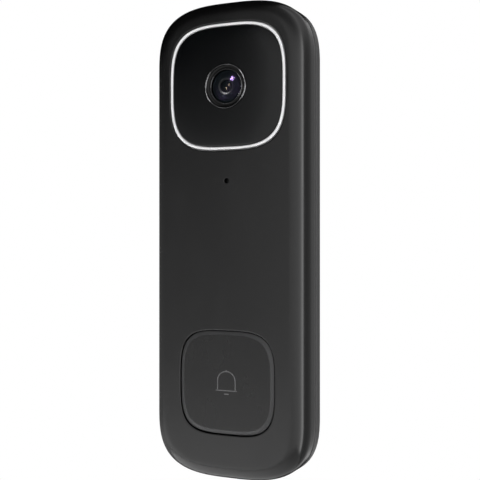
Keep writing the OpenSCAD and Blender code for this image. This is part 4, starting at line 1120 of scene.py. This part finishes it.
class DOORBELL_OT_camera_parts(Operator):
    """Builds the bezel, its plated beads, the front lens, the baffle, the pupil's rim and the second lens"""

    bl_idname = "doorbell.camera_parts"
    bl_label = "Camera parts"

    def execute(self, context):
        values = context.scene.camera_values
        bezel = even_gloss("bezel_gloss", values.bezel_colour, 0.16, 0.04, {SPECULAR: 0.3})
        finish_piece(lens_bezel(values), "doorbell", "bezel_dark", bezel, "lens_bezel")
        plating = even_gloss("crest_metal", values.plating, 0.16, 0.04, {"Metallic": 1.0})
        finish_piece(bezel_crest(values), "doorbell", "bezel_dark", plating)
        glass = coated_glass("coated_lens", values.tint)
        finish_piece(front_element(values), "doorbell", "lens_glass", glass, "front_lens")
        mount = fine_satin("lens_mount", values.mount, 0.7, 0.04)
        finish_piece(lens_baffle(values), "doorbell", "barrel_black", mount)
        rim = fine_satin("pupil_rim_satin", values.rim_colour, 0.4, 0.25)
        finish_piece(pupil_rim(values), "doorbell", "barrel_black", rim)
        tint = {"Specular Tint": (*values.inner_tint, 1), SPECULAR: 0.06}
        inner = even_gloss("inner_lens", values.inner, 0.12, 0.0, tint)
        finish_piece(second_element(values), "doorbell", "lens_glass", inner)
        return {"FINISHED"}


class DOORBELL_OT_button(Operator):
    """Builds the doorbell button and the bell symbol on it"""

    bl_idname = "doorbell.button"
    bl_label = "Button"

    def execute(self, context):
        values = context.scene.button
        cap = button_cap(values)
        finish_piece(cap, "button", "button_cap", slot_material("button_cap"), "doorbell_button")
        ink = satin_plastic("symbol_ink", values.symbol_colour, 0.5, 5000.0, 0.001 * MM)
        finish_piece(bell_symbol(values), "button", "button_cap", ink)
        return {"FINISHED"}


class DOORBELL_OT_stage(Operator):
    """Sets the floor, the surroundings, the lamps and the camera"""

    bl_idname = "doorbell.stage"
    bl_label = "Stage"

    def execute(self, context):
        values = context.scene.stage
        stage_floor(values)
        surroundings()
        lamps(values)
        stage_camera(values)
        context.scene.view_settings.view_transform = "Standard"
        return {"FINISHED"}


# ---------------------------------------------------------------- stage


# The studio's strengths: by height from straight down to straight up, and by heading in degrees.
BRIGHTEST = 4.0
LEFT_BY_HEIGHT = (
    (-1, 0.8), (-0.6, 1.0), (-0.33, 1.3), (-0.2, 0.74), (-0.1, 0.58), (0, 0.5), (0.1, 0.36),
    (0.17, 0.14), (0.22, 0.01), (0.4, 0.0), (1, 0.0),
)
LEFT_BY_HEADING = (
    (-180, 0.02), (-145, 0.03), (-115, 0.3), (-90, 0.7), (-65, 1.0), (-45, 1.1), (-24, 1.0), (0, 1.0),
    (180, 0.3),
)
RIGHT_BY_HEADING = (
    (-180, 1.3), (-150, 1.3), (-120, 0.2), (-30, 0.95), (0, 1.1), (35, 1.32), (60, 1.7), (70, 2.6),
    (75, 4.0), (87, 4.0), (91, 0.5), (110, 0.34), (150, 0.26), (165, 0.38), (180, 1.2),
)
HIGH_RIGHT_BY_HEADING = (
    (-180, 1.1), (-150, 0.5), (-30, 0.2), (-10, 0.26), (30, 0.42), (60, 0.8), (85, 1.4), (120, 0.8),
    (150, 0.42), (165, 0.36), (180, 0.9),
)


def stage_floor(values):
    """A wide pale floor well below the doorbell and ahead of the wall: z falls with the radius squared."""
    rings, columns = 13, 64
    radius = np.linspace(0, values.floor_radius, rings)[:, None]
    angle = 2 * np.pi * np.arange(columns) / columns
    x, y = radius * np.cos(angle), radius * np.sin(angle) - values.floor_lead
    z = -values.floor_drop - 0.002 * radius**2 + 0 * x
    points = np.stack([x, y, z], axis=-1).reshape(-1, 3)
    mesh = bpy.data.meshes.new("floor")
    mesh.from_pydata(points, [], grid_quads(rings, columns)[:, ::-1].tolist())
    mesh.shade_smooth()
    pale = {"Base Color": (0.9, 0.9, 0.9, 1), "Roughness": 0.9, "Emission Color": (1, 1, 1, 1)}
    material, tree, shader = new_material("pale_floor", pale)
    seen = tree.nodes.new("ShaderNodeLightPath").outputs["Is Camera Ray"]
    tree.links.new(math_node(tree, "MULTIPLY", seen, 0.7), shader.inputs["Emission Strength"])
    mesh.materials.append(material)
    add_object("floor", mesh)


def ramp(tree, value, stops):
    """A curve of straight stretches through (place, strength) stops, for strengths up to the brightest."""
    first, last = stops[0][0], stops[-1][0]
    node = tree.nodes.new("ShaderNodeValToRGB")
    elements = node.color_ramp.elements
    while len(elements) > 1:
        elements.remove(elements[0])
    for k, (place, strength) in enumerate(stops):
        share, grey = (place - first) / (last - first), strength / BRIGHTEST
        element = elements.new(share) if k else elements[0]
        element.position = share
        element.color = (grey, grey, grey, 1)
    tree.links.new(remap(tree, value, first, last), node.inputs["Fac"])
    return math_node(tree, "MULTIPLY", node.outputs["Color"], BRIGHTEST)


def surroundings():
    """White for the camera and through glass, and a studio in the polish, which is also the even light.

    The studio goes by heading in degrees from the face's own direction. On the left stands a screen that is
    brightest below the level and black above it, and fades towards the back. On the right are a brighter
    screen that ends in a tall strip, a dark gap beside it and a pale wall behind, more even higher up.
    """
    world = bpy.data.worlds.new("studio")
    bpy.context.scene.world = world
    world.use_nodes = True
    tree = world.node_tree
    background = tree.nodes["Background"]
    direction = tree.nodes.new("ShaderNodeTexCoord").outputs["Generated"]
    parts = tree.nodes.new("ShaderNodeSeparateXYZ")
    tree.links.new(direction, parts.inputs["Vector"])
    side, back, up = parts.outputs
    turn = math_node(tree, "ARCTAN2", side, math_node(tree, "MULTIPLY", back, -1.0))
    heading = math_node(tree, "MULTIPLY", turn, 180 / math.pi)
    screen = ramp(tree, up, LEFT_BY_HEIGHT)
    left_light = math_node(tree, "MULTIPLY", screen, ramp(tree, heading, LEFT_BY_HEADING))
    above = remap(tree, up, 0.15, 0.6, smooth=True)
    low_right = ramp(tree, heading, RIGHT_BY_HEADING)
    high_right = ramp(tree, heading, HIGH_RIGHT_BY_HEADING)
    right_light = remap(tree, above, 0.0, 1.0, low_right, high_right)
    blend = remap(tree, heading, -26.0, -18.0, smooth=True)
    studio = remap(tree, blend, 0.0, 1.0, left_light, right_light)
    rays = tree.nodes.new("ShaderNodeLightPath").outputs
    behind = remap(tree, back, 0.6, 0.9, smooth=True)
    through = math_node(tree, "MULTIPLY", rays["Is Transmission Ray"], behind)
    seen = math_node(tree, "MAXIMUM", rays["Is Camera Ray"], through)
    tree.links.new(math_node(tree, "MAXIMUM", studio, seen), background.inputs["Strength"])
    background.inputs["Color"].default_value = (1, 1, 1, 1)


def area_lamp(name, heading, elevation, size, radiance, distance=1.2, aim=(0, FRONT_Y, CAMERA_Z), only=None):
    """A soft lamp given by its heading from the face's own direction, turned to an aim point.

    It lights everything, or only one named piece. Power is radiance times pi times width times height, so
    that the lamp looks that bright when seen in a reflection.
    """
    lamp = bpy.data.lights.new(name, "AREA")
    lamp.shape = "RECTANGLE"
    lamp.size, lamp.size_y = size
    lamp.energy = radiance * math.pi * size[0] * size[1]
    item = add_object(name, lamp)
    turn, rise = math.radians(heading), math.radians(elevation)
    offset = Vector((math.sin(turn) * math.cos(rise), -math.cos(turn) * math.cos(rise), math.sin(rise)))
    item.location = Vector(aim) + offset * distance
    item.rotation_euler = offset.to_track_quat("Z", "Y").to_euler()
    item.visible_camera = False
    if only:
        item.light_linking.receiver_collection = lone_collection(only)
    return item


def lone_collection(member):
    """The collection that holds one named object alone, made the first time it is asked for."""
    name = f"{member}_only"
    group = bpy.data.collections.get(name)
    if not group:
        group = bpy.data.collections.new(name)
        group.objects.link(bpy.data.objects[member])
    return group


def lamps(values):
    """A large key from the upper left that leaves the polish alone, a low card, and lamps for one piece each.

    Those are a wash on the floor, round lamps for the front lens and the second lens, two tall ones for the
    plated beads, and one for the pupil's rim.
    """
    level, middle = values.lamp_level, (0, 0, 0)
    key = area_lamp("key", -50, 40, (1.2, 1.2), 1.3 * level, 1.6, middle)
    key.visible_glossy = False
    area_lamp("low_card", -38, -20, (0.9, 0.3), 0.6 * level, aim=middle)
    floor = (-0.6, -0.3, -values.floor_drop)
    wash = area_lamp("floor_wash", -60, 60, (0.6, 0.6), 8 * level, 1.3, floor, "floor")
    wash.data.spread = math.radians(75)
    for name, heading, elevation, size, radiance, piece in (
        ("catch", -3, 34, 0.26, 150, "front_element"),
        ("glint_high", -4, 20, 0.4, 90, "second_element"),
        ("glint_low", -25, -4, 0.3, 100, "second_element"),
    ):
        spot = area_lamp(name, heading, elevation, (size, size), radiance * level, only=piece)
        spot.data.shape = "DISK"
    for name, heading, elevation, radiance in (("bead_left", -74, 8, 17), ("bead_right", 44, -14, 12)):
        area_lamp(name, heading, elevation, (0.5, 1.1), radiance * level, only="bezel_crest")
    area_lamp("rim_light", -27, 42, (0.3, 0.3), 110 * level, only="pupil_rim")


def stage_camera(values):
    """The camera, level and near the height of the doorbell's middle, turned round it by its azimuth."""
    lens = bpy.data.cameras.new("camera")
    lens.lens = values.focal_length
    camera = add_object("camera", lens)
    turn = values.camera_azimuth
    away = Vector((math.sin(turn), -math.cos(turn), 0)) * values.camera_distance
    camera.location = Vector((values.camera_aim_x, FRONT_Y, values.camera_aim_z)) + away
    camera.rotation_euler = (math.radians(90), 0, turn)
    bpy.context.scene.camera = camera


# ---------------------------------------------------------------- panel and main


OPERATORS = (
    DOORBELL_OT_finishes,
    DOORBELL_OT_front_shell,
    DOORBELL_OT_ring_and_window,
    DOORBELL_OT_camera_parts,
    DOORBELL_OT_button,
    DOORBELL_OT_stage,
)


class DOORBELL_PT_looks(Panel):
    """Lists the doorbell's builders in the sidebar"""

    bl_idname = "DOORBELL_PT_looks"
    bl_label = "Doorbell"
    bl_space_type = "VIEW_3D"
    bl_region_type = "UI"
    bl_category = "Doorbell"

    def draw(self, context):
        for operator in OPERATORS:
            self.layout.operator(operator.bl_idname)


VALUE_GROUPS = {
    "housing": HousingValues,
    "ring": RingValues,
    "camera_values": CameraValues,
    "button": ButtonValues,
    "stage": StageValues,
}


def register():
    """Registers the values, the operators and the panel."""
    for name, group in VALUE_GROUPS.items():
        bpy.utils.register_class(group)
        setattr(bpy.types.Scene, name, PointerProperty(type=group))
    for operator in OPERATORS:
        bpy.utils.register_class(operator)
    bpy.utils.register_class(DOORBELL_PT_looks)


def unregister():
    """Takes them all out again, last first."""
    bpy.utils.unregister_class(DOORBELL_PT_looks)
    for operator in reversed(OPERATORS):
        bpy.utils.unregister_class(operator)
    for name, group in reversed(VALUE_GROUPS.items()):
        delattr(bpy.types.Scene, name)
        bpy.utils.unregister_class(group)


def main():
    """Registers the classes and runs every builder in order."""
    register()
    bpy.ops.doorbell.finishes()
    bpy.ops.doorbell.front_shell()
    bpy.ops.doorbell.ring_and_window()
    bpy.ops.doorbell.camera_parts()
    bpy.ops.doorbell.button()
    bpy.ops.doorbell.stage()


if __name__ == "__main__":
    main()
